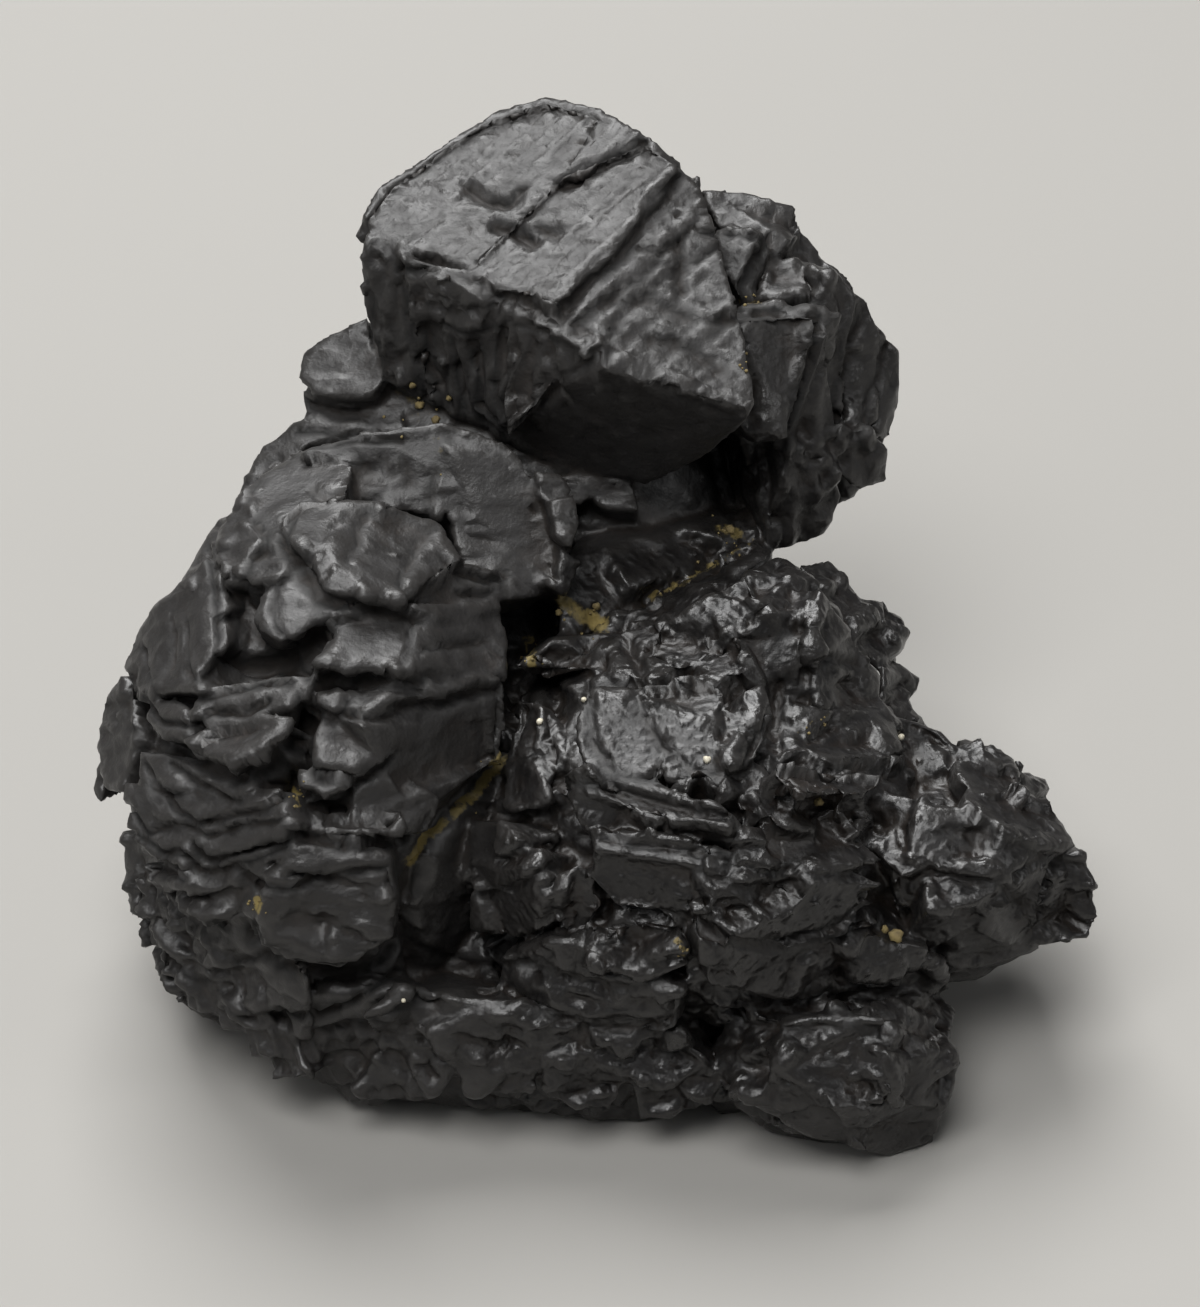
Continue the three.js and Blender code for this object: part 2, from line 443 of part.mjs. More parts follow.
// Blades standing on edge along the lower left skirt.
const skirtBlades = [
  { outline: [[352, 1098], [384, 1034], [440, 1024], [470, 1060], [430, 1102]],
    depth: -3, slope: [-0.2, -0.7], thick: 3 },
  { outline: [[430, 1028], [500, 1010], [548, 1044], [530, 1094], [470, 1096]],
    depth: -4.4, slope: [0, -0.7], thick: 3 },
  { outline: [[540, 1024], [600, 1030], [640, 1060], [610, 1112], [548, 1100]],
    depth: -4, slope: [0.1, -0.7], thick: 3 },
  { outline: [[620, 1040], [690, 1040], [726, 1084], [700, 1112], [640, 1122]],
    depth: -3, slope: [0.1, -0.6], thick: 3 },
  { outline: [[122, 830], [140, 836], [142, 890], [130, 918]],
    depth: 3, slope: [-1.2, -0.2], thick: 2 },
  { outline: [[136, 880], [158, 890], [160, 940], [140, 948]],
    depth: 1.6, slope: [-1.1, -0.3], thick: 2 },
  { outline: [[156, 920], [180, 930], [186, 986], [160, 976]],
    depth: 0.8, slope: [-1, -0.3], thick: 2 },
  { outline: [[178, 950], [206, 960], [214, 1016], [188, 1010]],
    depth: 0, slope: [-0.9, -0.4], thick: 2 },
  { outline: [[204, 970], [236, 976], [246, 1036], [220, 1030]],
    depth: -1, slope: [-0.9, -0.4], thick: 2.4 },
  { outline: [[232, 980], [262, 984], [276, 1060], [250, 1056]],
    depth: -1.6, slope: [-0.8, -0.4], thick: 2.4 },
  { outline: [[258, 990], [288, 996], [310, 1078], [272, 1080]],
    depth: -1.6, slope: [-0.8, -0.4], thick: 2.4 },
  { outline: [[362, 1018], [398, 986], [414, 986], [390, 1016]],
    depth: -6.8, slope: [-0.2, 0.4], thick: 6 },
];

// Repeatable scatter for the sides that face away: each number follows from the one before, by the
// usual multiplier and increment of a 32-bit generator.
const SCATTER_MULTIPLIER = 1664525;
const SCATTER_INCREMENT = 1013904223;
const SCATTER_RANGE = 2 ** 32;
function scatter(seed) {
  let state = seed;
  return (low = 0, high = 1) => {
    state = (state * SCATTER_MULTIPLIER + SCATTER_INCREMENT) % SCATTER_RANGE;
    return low + ((high - low) * state) / SCATTER_RANGE;
  };
}

// Corners of a blunt prism that stands on a middle and points outward.
function crystalCorners(middle, outward, { radius, tall, sides, turn, squeeze }) {
  const prism = new THREE.CylinderGeometry(radius * PRISM_TAPER, radius, tall, sides);
  prism.rotateY(turn);
  prism.scale(1, 1, squeeze);
  prism.applyQuaternion(new THREE.Quaternion().setFromUnitVectors(new THREE.Vector3(0, 1, 0), outward));
  prism.translate(middle.x, middle.y, middle.z);
  const places = prism.attributes.position;
  return Array.from({ length: places.count }, (_, k) => new THREE.Vector3().fromBufferAttribute(places, k));
}

// Blunt crystals over the far side of a rounded form, turned this way and that. Flat is their height
// against their radius, and share is how much of the way round to the near side they come. Towards the
// rim they are smaller and lie flatter.
function farCrystals(form, { count, size, flat, share, seed }) {
  const random = scatter(seed);
  const golden = Math.PI * (3 - Math.sqrt(5));
  const crystals = [];
  for (let i = 0; i < count; i += 1) {
    const away = 1 - (2 * share * (i + 0.5)) / count;
    const ring = Math.sqrt(1 - away * away);
    const round = i * golden;
    const middle = sighted([
      form.middle[0] + (Math.cos(round) * ring * form.across * CORE_SHARE) / GRID_STEP,
      form.middle[1] - (Math.sin(round) * ring * form.up * CORE_SHARE) / GRID_STEP,
      form.depth + away * form.deep * CORE_SHARE,
    ]);
    const outward = new THREE.Vector3()
      .addScaledVector(sightRight, (Math.cos(round) * ring) / form.across)
      .addScaledVector(sightUp, (Math.sin(round) * ring) / form.up)
      .addScaledVector(sightAway, away / form.deep)
      .normalize();
    const lively = THREE.MathUtils.clamp(RIM_LIVELY + away, LEAST_LIVELY, 1);
    const lean = new THREE.Vector3(
      random(-LEAN_MOST, LEAN_MOST),
      random(-LEAN_MOST, LEAN_MOST),
      random(0, LEAN_MOST),
    );
    outward.addScaledVector(lean, lively).normalize();
    const sides = Math.floor(random(4, 5.9));
    const radius = size * random(0.75, 1.25) * (0.6 + 0.4 * lively);
    const tall = 2 * radius * flat * random(0.7, 1.3);
    const turn = random(0, Math.PI);
    const squeeze = random(0.7, 1);
    crystals.push(hull(crystalCorners(middle, outward, { radius, tall, sides, turn, squeeze })));
  }
  return crystals;
}

const farSides = [
  { form: dome, count: 24, size: 5.4, flat: 0.14, share: 0.5, seed: 5 },
  { form: mass, count: 8, size: 5, flat: 0.3, share: 0.42, seed: 7 },
  { form: toe, count: 8, size: 3.4, flat: 0.28, share: 0.42, seed: 9 },
  { form: foot, count: 6, size: 3.2, flat: 0.28, share: 0.5, seed: 13 },
  { form: blockBack, count: 9, size: 5, flat: 0.35, share: 0.42, seed: 17 },
  { form: clusterBack, count: 6, size: 3.4, flat: 0.35, share: 0.4, seed: 19 },
  { form: rearDome, count: 8, size: 5.2, flat: 0.32, share: 0.42, seed: 11 },
  { form: rearMiddle, count: 8, size: 5, flat: 0.35, share: 0.42, seed: 23 },
  { form: rearBase, count: 15, size: 5.6, flat: 0.35, share: 0.48, seed: 37 },
  { form: rearFoot, count: 8, size: 4.8, flat: 0.35, share: 0.42, seed: 41 },
];

// Draws corners that lie closer together than the limit into one, wherever the surface stays closed
// and no face turns over.
function drawTogether(corners, faces, limit) {
  const facesAt = corners.map(() => new Set());
  faces.forEach((face, f) => face.forEach((corner) => facesAt[corner].add(f)));
  const neighbours = (corner) => new Set(
    [...facesAt[corner]].flatMap((f) => faces[f]).filter((other) => other !== corner),
  );
  const normalOf = (face) => {
    const [a, b, c] = face.map((corner) => corners[corner]);
    return b.clone().sub(a).cross(c.clone().sub(a));
  };
  const staysFacing = (gone, kept) => [...facesAt[gone]].every((f) => {
    if (faces[f].includes(kept)) {
      return true;
    }
    const before = normalOf(faces[f]);
    const after = normalOf(faces[f].map((corner) => (corner === gone ? kept : corner)));
    const same = FACING_KEPT * after.length() * before.length();
    return after.length() > SAME_POINT ** 2 && after.dot(before) > same;
  });
  const canJoin = (gone, kept) => {
    const around = neighbours(kept);
    const shared = [...neighbours(gone)].filter((corner) => around.has(corner));
    return shared.length === 2 && staysFacing(gone, kept);
  };
  const join = (gone, kept) => {
    for (const f of [...facesAt[gone]]) {
      if (faces[f].includes(kept)) {
        faces[f].forEach((corner) => facesAt[corner].delete(f));
        faces[f] = null;
      } else {
        faces[f] = faces[f].map((corner) => (corner === gone ? kept : corner));
        facesAt[kept].add(f);
      }
    }
    facesAt[gone].clear();
  };
  for (let f = 0; f < faces.length; f += 1) {
    for (let side = 0; side < 3 && faces[f]; side += 1) {
      const gone = faces[f][side];
      const kept = faces[f][(side + 1) % 3];
      const onGround = corners[gone].z < SAME_POINT;
      if (!onGround && corners[gone].distanceTo(corners[kept]) < limit && canJoin(gone, kept)) {
        join(gone, kept);
      }
    }
  }
  return faces.filter((face) => face);
}

const slabs = (list) => list.map(({ outline, depth, slope, thick }) => slab(outline, depth, slope, thick));
const plates = (form, list) => list.map((entry) => plate(form, entry));

const pieces = [
  ...[dome, mass, brow, toe, foot, rearDome, rearMiddle, rearBase, rearFoot].map(core),
  boulder([...topBlock, ...topBlockBack]),
  ...slabs(blockFacets),
  boulder(rearClusterBody),
  ...slabs(rearCluster),
  ...slabs(leftLumps),
  ...plates(dome, domePlates),
  ...slabs(shoulder),
  ...recess.map(boulder),
  ...plates(mass, massPlates),
  ...plates(brow, browPlates),
  ...plates(toe, toePlates),
  ...plates(foot, footPlates),
  ...rearLumps.map(boulder),
  ...belly.map(boulder),
  ...slabs(skirtBlades),
  ...farSides.flatMap(({ form, ...scattered }) => farCrystals(form, scattered)),
];
let cluster = pieces[0];
for (const piece of pieces.slice(1)) {
  cluster = cluster.add(piece);
}

// Everything under the ground plane is cut away, which leaves the flat that the stone rests on.
const ground = solidFrom(new THREE.BoxGeometry(2 * GROUND_DEPTH, 2 * GROUND_DEPTH, GROUND_DEPTH)
  .translate(0, 0, REST_CUT - GROUND_DEPTH / 2));
cluster = cluster.subtract(ground);

// The stone is solid right through: gaps sealed off inside it are not kept.
const whole = cluster.decompose().reduce((best, body) => (body.volume() > best.volume() ? body : best));

const { vertProperties, triVerts, numProp } = whole.getMesh();
const corners = [];
for (let i = 0; i < vertProperties.length; i += numProp) {
  const [x, y, z] = vertProperties.subarray(i, i + 3);
  corners.push(new THREE.Vector3(x, y, z - REST_CUT));
}
let faces = [];
for (let i = 0; i < triVerts.length; i += 3) {
  faces.push([...triVerts.subarray(i, i + 3)]);
}
for (let pass = 0; pass < DRAWING_PASSES; pass += 1) {
  faces = drawTogether(corners, faces, SHORTEST_EDGE);
}
const geometry = new THREE.BufferGeometry().setFromPoints(faces.flat().map((corner) => corners[corner]));
geometry.computeBoundingBox();
const box = geometry.boundingBox;
geometry.translate(-(box.min.x + box.max.x) / 2, -(box.min.y + box.max.y) / 2, 0);
geometry.computeVertexNormals();

const blackOxide = new THREE.MeshStandardMaterial({ color: 0x3b3a3a, roughness: 0.42, metalness: 0.25 });
const stone = new THREE.Mesh(geometry, blackOxide);
stone.name = 'stone';

const group = new THREE.Group();
group.name = 'prophecy_stone';
group.add(stone);
export default group;
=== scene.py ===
# %% [markdown]
# # The prophecy stone
# A prophecy stone is a fist of iron oxide, a few centimetres across, that the desert wind has polished to
# a dark satin. It began as a cluster of pyrite or marcasite crystals, so it still has their blocks, plates
# and growth steps. It formed as one piece. The measured solid is loaded first and is never moved: it is
# the frame that every grain of the finished stone is held to.

# %% Load the measured frame
import math

import bmesh
import bpy
import numpy as np
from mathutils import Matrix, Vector
from mathutils.bvhtree import BVHTree


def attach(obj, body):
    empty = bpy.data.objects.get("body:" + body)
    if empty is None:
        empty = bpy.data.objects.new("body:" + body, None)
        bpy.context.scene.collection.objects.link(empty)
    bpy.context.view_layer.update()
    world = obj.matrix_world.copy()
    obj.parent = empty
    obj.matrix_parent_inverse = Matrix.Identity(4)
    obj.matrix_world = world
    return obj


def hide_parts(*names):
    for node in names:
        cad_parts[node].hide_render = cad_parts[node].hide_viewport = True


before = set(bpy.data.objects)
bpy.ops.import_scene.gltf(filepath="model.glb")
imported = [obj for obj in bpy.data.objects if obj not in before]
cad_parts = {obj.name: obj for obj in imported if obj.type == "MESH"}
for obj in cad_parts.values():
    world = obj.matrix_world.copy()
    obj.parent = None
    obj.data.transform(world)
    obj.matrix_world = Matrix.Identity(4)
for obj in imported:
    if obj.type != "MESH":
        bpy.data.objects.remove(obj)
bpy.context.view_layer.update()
MM = 0.001

# %% [markdown]
# ## The line of sight
# The stone is seen from 340 mm away and 40 degrees above the table. A picture 1200 wide and 1307 high is
# laid over it, each step of that grid being 0.06 mm at the middle of the stone. Two functions go from the
# grid to the stone and back, so that a crack or a ledge can be given where the eye sees it.

# %% Grid to stone, and stone to grid
SIGHT_DISTANCE = 340.0
SIGHT_ELEVATION = math.radians(40)
GRID_STEP = 0.06
GRID_WIDE, GRID_HIGH = 1200, 1307
MIDDLE = np.array([0.4247, -3.7456, 23.1])
AWAY = np.array([0.0, math.cos(SIGHT_ELEVATION), -math.sin(SIGHT_ELEVATION)])
UP = np.array([0.0, math.sin(SIGHT_ELEVATION), math.cos(SIGHT_ELEVATION)])
RIGHT = np.array([1.0, 0.0, 0.0])


def from_grid(across, down, depth):
    """Middle of the stone, plus right and up by the grid steps from the grid's middle, each widened by
    one plus depth over the eye's distance, plus the depth along the line of sight."""
    spread = GRID_STEP * (1 + np.asarray(depth, float) / SIGHT_DISTANCE)
    right = (np.asarray(across, float) - GRID_WIDE / 2) * spread
    up = (GRID_HIGH / 2 - np.asarray(down, float)) * spread
    return MIDDLE + right[..., None] * RIGHT + up[..., None] * UP + np.asarray(depth, float)[..., None] * AWAY


def to_grid(points):
    """Across, down and depth of points: the same sum turned round."""
    offset = points - MIDDLE
    depth = offset @ AWAY
    spread = GRID_STEP * (1 + depth / SIGHT_DISTANCE)
    return GRID_WIDE / 2 + offset @ RIGHT / spread, GRID_HIGH / 2 - offset @ UP / spread, depth


print("grid middle is at", np.round(from_grid(600, 653.5, 0.0), 2), "mm")

# %% [markdown]
# ## The camera
# A long lens at the same spot gives the same gentle perspective. Its 36 mm film side is the grid's height.

# %% Camera at the eye
camera = bpy.data.objects.new("camera", bpy.data.cameras.new("camera"))
bpy.context.scene.collection.objects.link(camera)
camera.location = Vector((MIDDLE - AWAY * SIGHT_DISTANCE) * MM)
camera.rotation_euler = Vector(AWAY).to_track_quat("-Z", "Y").to_euler()
camera.data.sensor_width = 36
camera.data.lens = SIGHT_DISTANCE / (GRID_HIGH * GRID_STEP) * 36
camera.data.clip_start, camera.data.clip_end = 0.01, 10
bpy.context.scene.camera = camera
print("lens", round(camera.data.lens, 1), "mm")

# %% [markdown]
# ## A skin fine enough to carve
# The solid's facets are large and loose. A copy is merged, and its skin is rebuilt as an even net of small
# squares, as a sculptor would, so that the next steps can push each knot of the net in or out.

# %% Rebuild the skin
SKIN_STEP = 0.20


def new_mesh(name, points, faces):
    """A mesh from arrays of corners and of faces."""
    mesh = bpy.data.meshes.new(name)
    mesh.from_pydata(points, [], faces)
    mesh.update()
    return mesh


def rebuilt(node, step):
    """The merged node in millimetres, as an even net of squares: corners and faces."""
    source = node.data.copy()
    piece = bpy.data.objects.new("skin", source)
    bpy.context.scene.collection.objects.link(piece)
    points = np.empty(len(source.vertices) * 3)
    source.vertices.foreach_get("co", points)
    source.vertices.foreach_set("co", points / MM)
    weld = piece.modifiers.new("weld", "WELD")
    weld.merge_threshold = 1e-4
    net = piece.modifiers.new("net", "REMESH")
    net.mode = "VOXEL"
    net.voxel_size = step
    net.adaptivity = 0
    done = bpy.data.meshes.new_from_object(piece.evaluated_get(bpy.context.evaluated_depsgraph_get()))
    bpy.data.objects.remove(piece)
    return done


stone = rebuilt(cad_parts["stone"], SKIN_STEP)
print("net:", len(stone.vertices), "corners,", len(stone.polygons), "squares")

# %% [markdown]
# ## Noise to carve with
# Nature's irregularity is drawn from a table of fixed random numbers, one for each knot of a cubic
# lattice, so it comes out the same every time. Soft noise blends the eight nearest. Cells give each point
# its nearest random seed, as grains of a rock or crystals of a crust have.

# %% Noise helpers
LEAST_SHARE = 0.01
PRIMES = (73856093, 19349663, 83492791)
LOW_32_BITS = 0xFFFFFFFF
LOW_24_BITS = 0xFFFFFF
FAR = 1e9


def random_at(i, j, k, seed):
    """A number from 0 to 1 for each lattice knot: its indices are multiplied by primes and joined, and
    the bits of the result are mixed three times by shifting them onto themselves."""
    with np.errstate(over="ignore"):
        mixed = (i.astype(np.int64) * PRIMES[0]) ^ (j.astype(np.int64) * PRIMES[1])
        mixed = mixed ^ (k.astype(np.int64) * PRIMES[2]) ^ (seed * 2654435761)
        mixed = (mixed & LOW_32_BITS).astype(np.uint64)
        for shift, factor in ((15, 2246822519), (13, 3266489917)):
            mixed = ((mixed ^ (mixed >> np.uint64(shift))) * np.uint64(factor)) & np.uint64(LOW_32_BITS)
        mixed = mixed ^ (mixed >> np.uint64(16))
    return (mixed & np.uint64(LOW_24_BITS)).astype(float) / LOW_24_BITS


def soft_noise(points, seed):
    """From -1 to 1: the eight knots round a point, blended by the eased share of the way to each."""
    low = np.floor(points)
    share = points - low
    share = share * share * (3 - 2 * share)
    total = np.zeros(len(points))
    for corner in np.ndindex(2, 2, 2):
        weight = np.prod(np.where(corner, share, 1 - share), axis=1)
        total += weight * random_at(*(low + corner).T, seed)
    return 2 * total - 1


def cells(points, seed):
    """For each point: distance to its nearest seed, the way from that seed to the point, and three random
    numbers of that seed. A seed lies in the middle nine tenths of its lattice square."""
    low = np.floor(points)
    first = np.full(len(points), FAR)
    way = np.zeros((len(points), 3))
    knot = np.zeros((len(points), 3))
    for step in np.ndindex(3, 3, 3):
        at = low + step - 1
        seat = at + np.stack([random_at(*at.T, seed + n) for n in range(3)], axis=1) * 0.9 + 0.05
        offset = points - seat
        distance = np.linalg.norm(offset, axis=1)
        nearer = distance < first
        first = np.where(nearer, distance, first)
        way[nearer] = offset[nearer]
        knot[nearer] = at[nearer]
    draws = np.stack([random_at(*knot.T, seed + 10 + n) for n in range(3)], axis=1)
    return first, way, draws


def ease(value, low, high):
    """0 below low, 1 above high, and an S-curve between them."""
    share = np.clip((value - low) / (high - low), 0, 1)
    return share * share * (3 - 2 * share)


def only_where(share, points, height_of):
    """Share times height, worked out only for the points whose share counts, and 0 for the rest."""
    held = np.abs(share) > LEAST_SHARE
    height = np.zeros(len(points))
    height[held] = share[held] * height_of(points[held])
    return height


print("soft noise in the middle of a lattice square:", np.round(soft_noise(np.full((1, 3), 0.5), 1), 3))

# %% [markdown]
# ## The parts of the stone
# The crystals grew in groups, and each group has its own skin: a big block on top with satin faces, ribbed
# blades to its right, a left dome of stacked thin plates, and a low right mass of glossy wrinkled crust.
# Each group is an ellipsoid here, and a point belongs mostly to the group whose ellipsoid it is nearest.

# %% Groups: middle on the grid, depth and half sizes in millimetres
GROUPS = {
    "block": ((560, 270), 5.0, (13.0, 10.5, 11.0)),
    "cluster": ((815, 375), 9.0, (6.5, 11.0, 9.0)),
    "dome": ((325, 765), 4.0, (13.4, 18.8, 15.5)),
    "rear_dome": ((430, 520), 14.0, (14.0, 13.0, 11.0)),
    "mass": ((690, 838), 4.4, (17.0, 14.8, 14.6)),
    "brow": ((730, 660), 5.0, (8.6, 6.0, 9.0)),
    "toe": ((930, 858), 4.0, (9.6, 6.4, 8.0)),
    "foot": ((830, 1065), 1.0, (7.4, 5.2, 6.5)),
}
GROUP_EDGE = 6


def group_shares(points):
    """Share of each group at each point: e to the power of minus GROUP_EDGE times the ellipsoid's own
    measure of distance squared, divided by the sum over all the groups."""
    weights = {}
    for name, (spot, depth, half) in GROUPS.items():
        offset = points - from_grid(*spot, depth)
        scaled = np.stack([offset @ RIGHT / half[0], offset @ UP / half[1], offset @ AWAY / half[2]], axis=1)
        weights[name] = np.exp(-GROUP_EDGE * np.minimum(np.sum(scaled**2, axis=1), 40.0)) + 1e-60
    total = sum(weights.values())
    return {name: weight / total for name, weight in weights.items()}


def skins(points):
    """Shares of the four kinds of skin: block, cluster, plates and wrinkles."""
    share = group_shares(points)
    plates = share["dome"] + share["rear_dome"]
    wrinkles = share["mass"] + share["brow"] + share["toe"] + share["foot"]
    return share["block"], share["cluster"], plates, wrinkles


print("skins at the block's middle:", [round(float(share[0]), 2) for share in skins(
    from_grid(*GROUPS["block"][0], GROUPS["block"][1])[None])])

# %% [markdown]
# ## Carving by pushing the net
# A carving function gives the height to push each corner along its own outward direction. The foot of the
# stone stays flat where it rests, and nothing goes below the table.

# %% Push the net
REST_BAND = (0.15, 1.2)


def corners(mesh):
    """The mesh's corners as rows of three."""
    points = np.empty(len(mesh.vertices) * 3)
    mesh.vertices.foreach_get("co", points)
    return points.reshape(-1, 3)


def place_corners(mesh, points):
    """Moves the mesh's corners, and lifts onto the table those that would go below it."""
    points[:, 2] = np.maximum(points[:, 2], 0)
    mesh.vertices.foreach_set("co", points.ravel())
    mesh.update()


def outward(mesh):
    """The mesh's outward direction at each corner."""
    directions = np.empty(len(mesh.vertices) * 3)
    mesh.vertex_normals.foreach_get("vector", directions)
    return directions.reshape(-1, 3)


def neighbour_mean(mesh, values, rounds):
    """Values averaged with those of the corners that share an edge, some rounds over."""
    ends = np.empty(len(mesh.edges) * 2, int)
    mesh.edges.foreach_get("vertices", ends)
    one, other = ends.reshape(-1, 2).T
    count = len(mesh.vertices)
    links = np.bincount(one, minlength=count) + np.bincount(other, minlength=count) + 1.0
    for _ in range(rounds):
        columns = []
        for column in values.T:
            near = np.bincount(one, column[other], count) + np.bincount(other, column[one], count)
            columns.append((near + column) / links)
        values = np.stack(columns, axis=1)
    return values


def push(mesh, height, smoothing=3, softening=2):
    """Each corner moves along its outward direction, averaged with its neighbours', by its height, which
    is averaged too so that no step is as sharp as the net's own squares. The push fades out over REST_BAND
    millimetres above the table."""
    points = corners(mesh)
    height = neighbour_mean(mesh, height[:, None], softening)[:, 0]
    direction = neighbour_mean(mesh, outward(mesh), smoothing)
    direction /= np.linalg.norm(direction, axis=1)[:, None] + 1e-9
    points += direction * (height * ease(points[:, 2], *REST_BAND))[:, None]
    place_corners(mesh, points)


# %% [markdown]
# ## Crystal facets
# Each group is made of smaller crystals. A cell of the noise is one crystal: its face is a flat tilted at
# random, so the height is the way from the cell's seed times that tilt. On the dome the cells are wide and
# thin and all lean one way, as tiles do, so that their lower rims stand proud of the next plate.

# %% Facet heights


def facets(points, size, stretch, lean, wild, seed, turn=0.0):
    """Way from the seed, in cell units, times a tilt: the lean that all share plus a random one times
    wild, times the cell size. Stretch is how much longer a cell is along right, up and away, with right
    and up turned anticlockwise, as the eye sees it, by a number of degrees. Soft noise bends the borders
    between the cells by up to a third of a cell, so that they aren't straight."""
    cos, sin = math.cos(math.radians(turn)), math.sin(math.radians(turn))
    axes = np.stack([cos * RIGHT + sin * UP, cos * UP - sin * RIGHT, AWAY])
    own = points @ axes.T / (np.array(stretch) * size)
    warp = np.stack([soft_noise(own * 0.6 + 7 * n, seed + n) for n in range(3)], axis=1)
    _, way, draws = cells(own + 0.35 * warp, seed)
    tilt = np.array(lean) + wild * (2 * draws - 1)
    return np.sum(way * tilt, axis=1) * size


sample = facets(MIDDLE[None], 2.0, (1.0, 1.0, 1.0), (0.0, 0.0, 0.0), 0.3, 11)
print("a facet 2 mm wide rises at the middle by", round(float(sample[0]), 3), "mm")

# %% [markdown]
# ## Where the eye sees, and where a face stays smooth
# The wind and the growing crystal left some faces almost flat. Each is an outline on the grid with the share
# of the facets that it loses. Three more outlines mark where the skin is ragged instead, under the dome and
# along the stone's lower front: they keep their facets and get wilder ones besides. Outlines are read from
# where the eye stands, so they act only on skin that faces it and that nothing nearer covers.

# %% Distance from a line, and inside an outline


def line_distance(across, down, line):
    """Distance from each grid place to the nearest stretch of a line, and which side it lies on: +1 on
    the left hand of someone walking along it."""
    nearest = np.full(len(across), FAR)
    side = np.zeros(len(across))
    for (x0, y0), (x1, y1) in zip(line[:-1], line[1:]):
        length = math.hypot(x1 - x0, y1 - y0)
        ahead = ((across - x0) * (x1 - x0) + (down - y0) * (y1 - y0)) / length**2
        held = np.clip(ahead, 0, 1)
        distance = np.hypot(across - x0 - held * (x1 - x0), down - y0 - held * (y1 - y0))
        left = np.sign((across - x0) * (y1 - y0) - (down - y0) * (x1 - x0))
        nearer = distance < nearest
        side = np.where(nearer, left, side)
        nearest = np.where(nearer, distance, nearest)
    return nearest, side


def inside(across, down, outline, margin):
    """1 inside an outline and 0 outside, with an S-curve over the margin within its rim. A place is inside
    when a line from it to the right crosses the outline an odd number of times."""
    ring = outline + outline[:1]
    crossings = np.zeros(len(across), int)
    for (x0, y0), (x1, y1) in zip(ring[:-1], ring[1:]):
        level = (down > min(y0, y1)) & (down <= max(y0, y1))
        crossings += level & (x0 + (down - y0) * (x1 - x0) / ((y1 - y0) or 1e-9) > across)
    distance, _ = line_distance(across, down, ring)
    return (crossings % 2) * ease(distance, 0, margin)


# %% What the eye sees
PATCH = 6
PATCHES_WIDE, PATCHES_HIGH = 202, 220
COVERED = 4.0


def seen(mesh, turned=-0.05):
    """1 where a corner faces the eye, or at least turns its skin that much to it, and lies less than
    COVERED millimetres behind the nearest corner in its patch of the grid, else 0."""
    points = corners(mesh)
    across, down, depth = to_grid(points)
    column = np.clip((across / PATCH).astype(int), 0, PATCHES_WIDE - 1)
    row = np.clip((down / PATCH).astype(int), 0, PATCHES_HIGH - 1)
    nearest = np.full((PATCHES_WIDE, PATCHES_HIGH), FAR)
    np.minimum.at(nearest, (column, row), depth)
    facing = -(neighbour_mean(mesh, outward(mesh), 2) @ AWAY)
    return ease(facing, turned, turned + 0.25) * ease(nearest[column, row] + COVERED - depth, 0.0, 1.0)


def rim_share(mesh):
    """0.15 where the skin turns away from the eye, at the outline, and 1 where it faces the eye or hides."""
    facing = np.abs(neighbour_mean(mesh, outward(mesh), 5) @ AWAY)
    return 0.15 + 0.85 * ease(facing, 0.08, 0.45)


# %% Smooth faces, and the ragged skin below the dome
SMOOTH = [
    ([(336, 724), (500, 706), (500, 800), (405, 812), (384, 765)], 0.9),
    ([(264, 888), (395, 872), (395, 900), (300, 910)], 0.5),
    ([(508, 438), (556, 374), (600, 348), (745, 420), (700, 452), (635, 482), (575, 480)], 0.8),
    ([(335, 626), (412, 610), (396, 676), (316, 671)], 0.9),
    ([(190, 742), (215, 725), (288, 722), (270, 757), (240, 770)], 0.9),
    ([(230, 500), (300, 450), (520, 450), (550, 560), (420, 600), (320, 590), (250, 560)], 0.7),
    ([(362, 230), (400, 170), (550, 100), (700, 180), (680, 232), (575, 320), (450, 272)], 0.8),
    ([(560, 790), (735, 815), (730, 905), (640, 930), (560, 860)], 0.6),
]

LOWER_DOME = [(60, 780), (250, 860), (420, 850), (440, 1010), (330, 1030), (60, 1000)]
SKIRT = [(40, 840), (250, 880), (250, 960), (330, 1010), (450, 1010), (480, 1130), (300, 1140), (80, 1000)]
BELLY = [(400, 1000), (560, 1020), (740, 1010), (730, 1120), (560, 1160), (380, 1140)]
SMOOTH_MARGIN = 10
PLATES_CALM = 0.72

# %% Masks on the grid
points = corners(stone)
across, down, _ = to_grid(points)
calm = np.zeros(len(points))
for outline, amount in SMOOTH:
    calm = np.maximum(calm, amount * inside(across, down, outline, SMOOTH_MARGIN))
view_mask = seen(stone)
block, cluster, plates, wrinkles = skins(points)
skirt = inside(across, down, SKIRT, 40) * view_mask
belly = inside(across, down, BELLY, 30) * view_mask
lower = inside(across, down, LOWER_DOME, 30) * view_mask
calm = np.maximum(calm, PLATES_CALM * plates) * view_mask * (1 - skirt) * (1 - belly) * (1 - 0.7 * lower)
print("smooth share of the skin", round(calm.mean(), 3))

# %% [markdown]
# ## Coarse facets, then fine steps
# The net is pushed twice. The first push gives crystals 2 to 3 mm across, and the second puts steps about
# 1 mm apart on them. Each row is a share of the skin, then the size in millimetres, stretch, lean, wild,
# seed and turn of its facets. The fine steps come and go over a few millimetres, as real growth does.

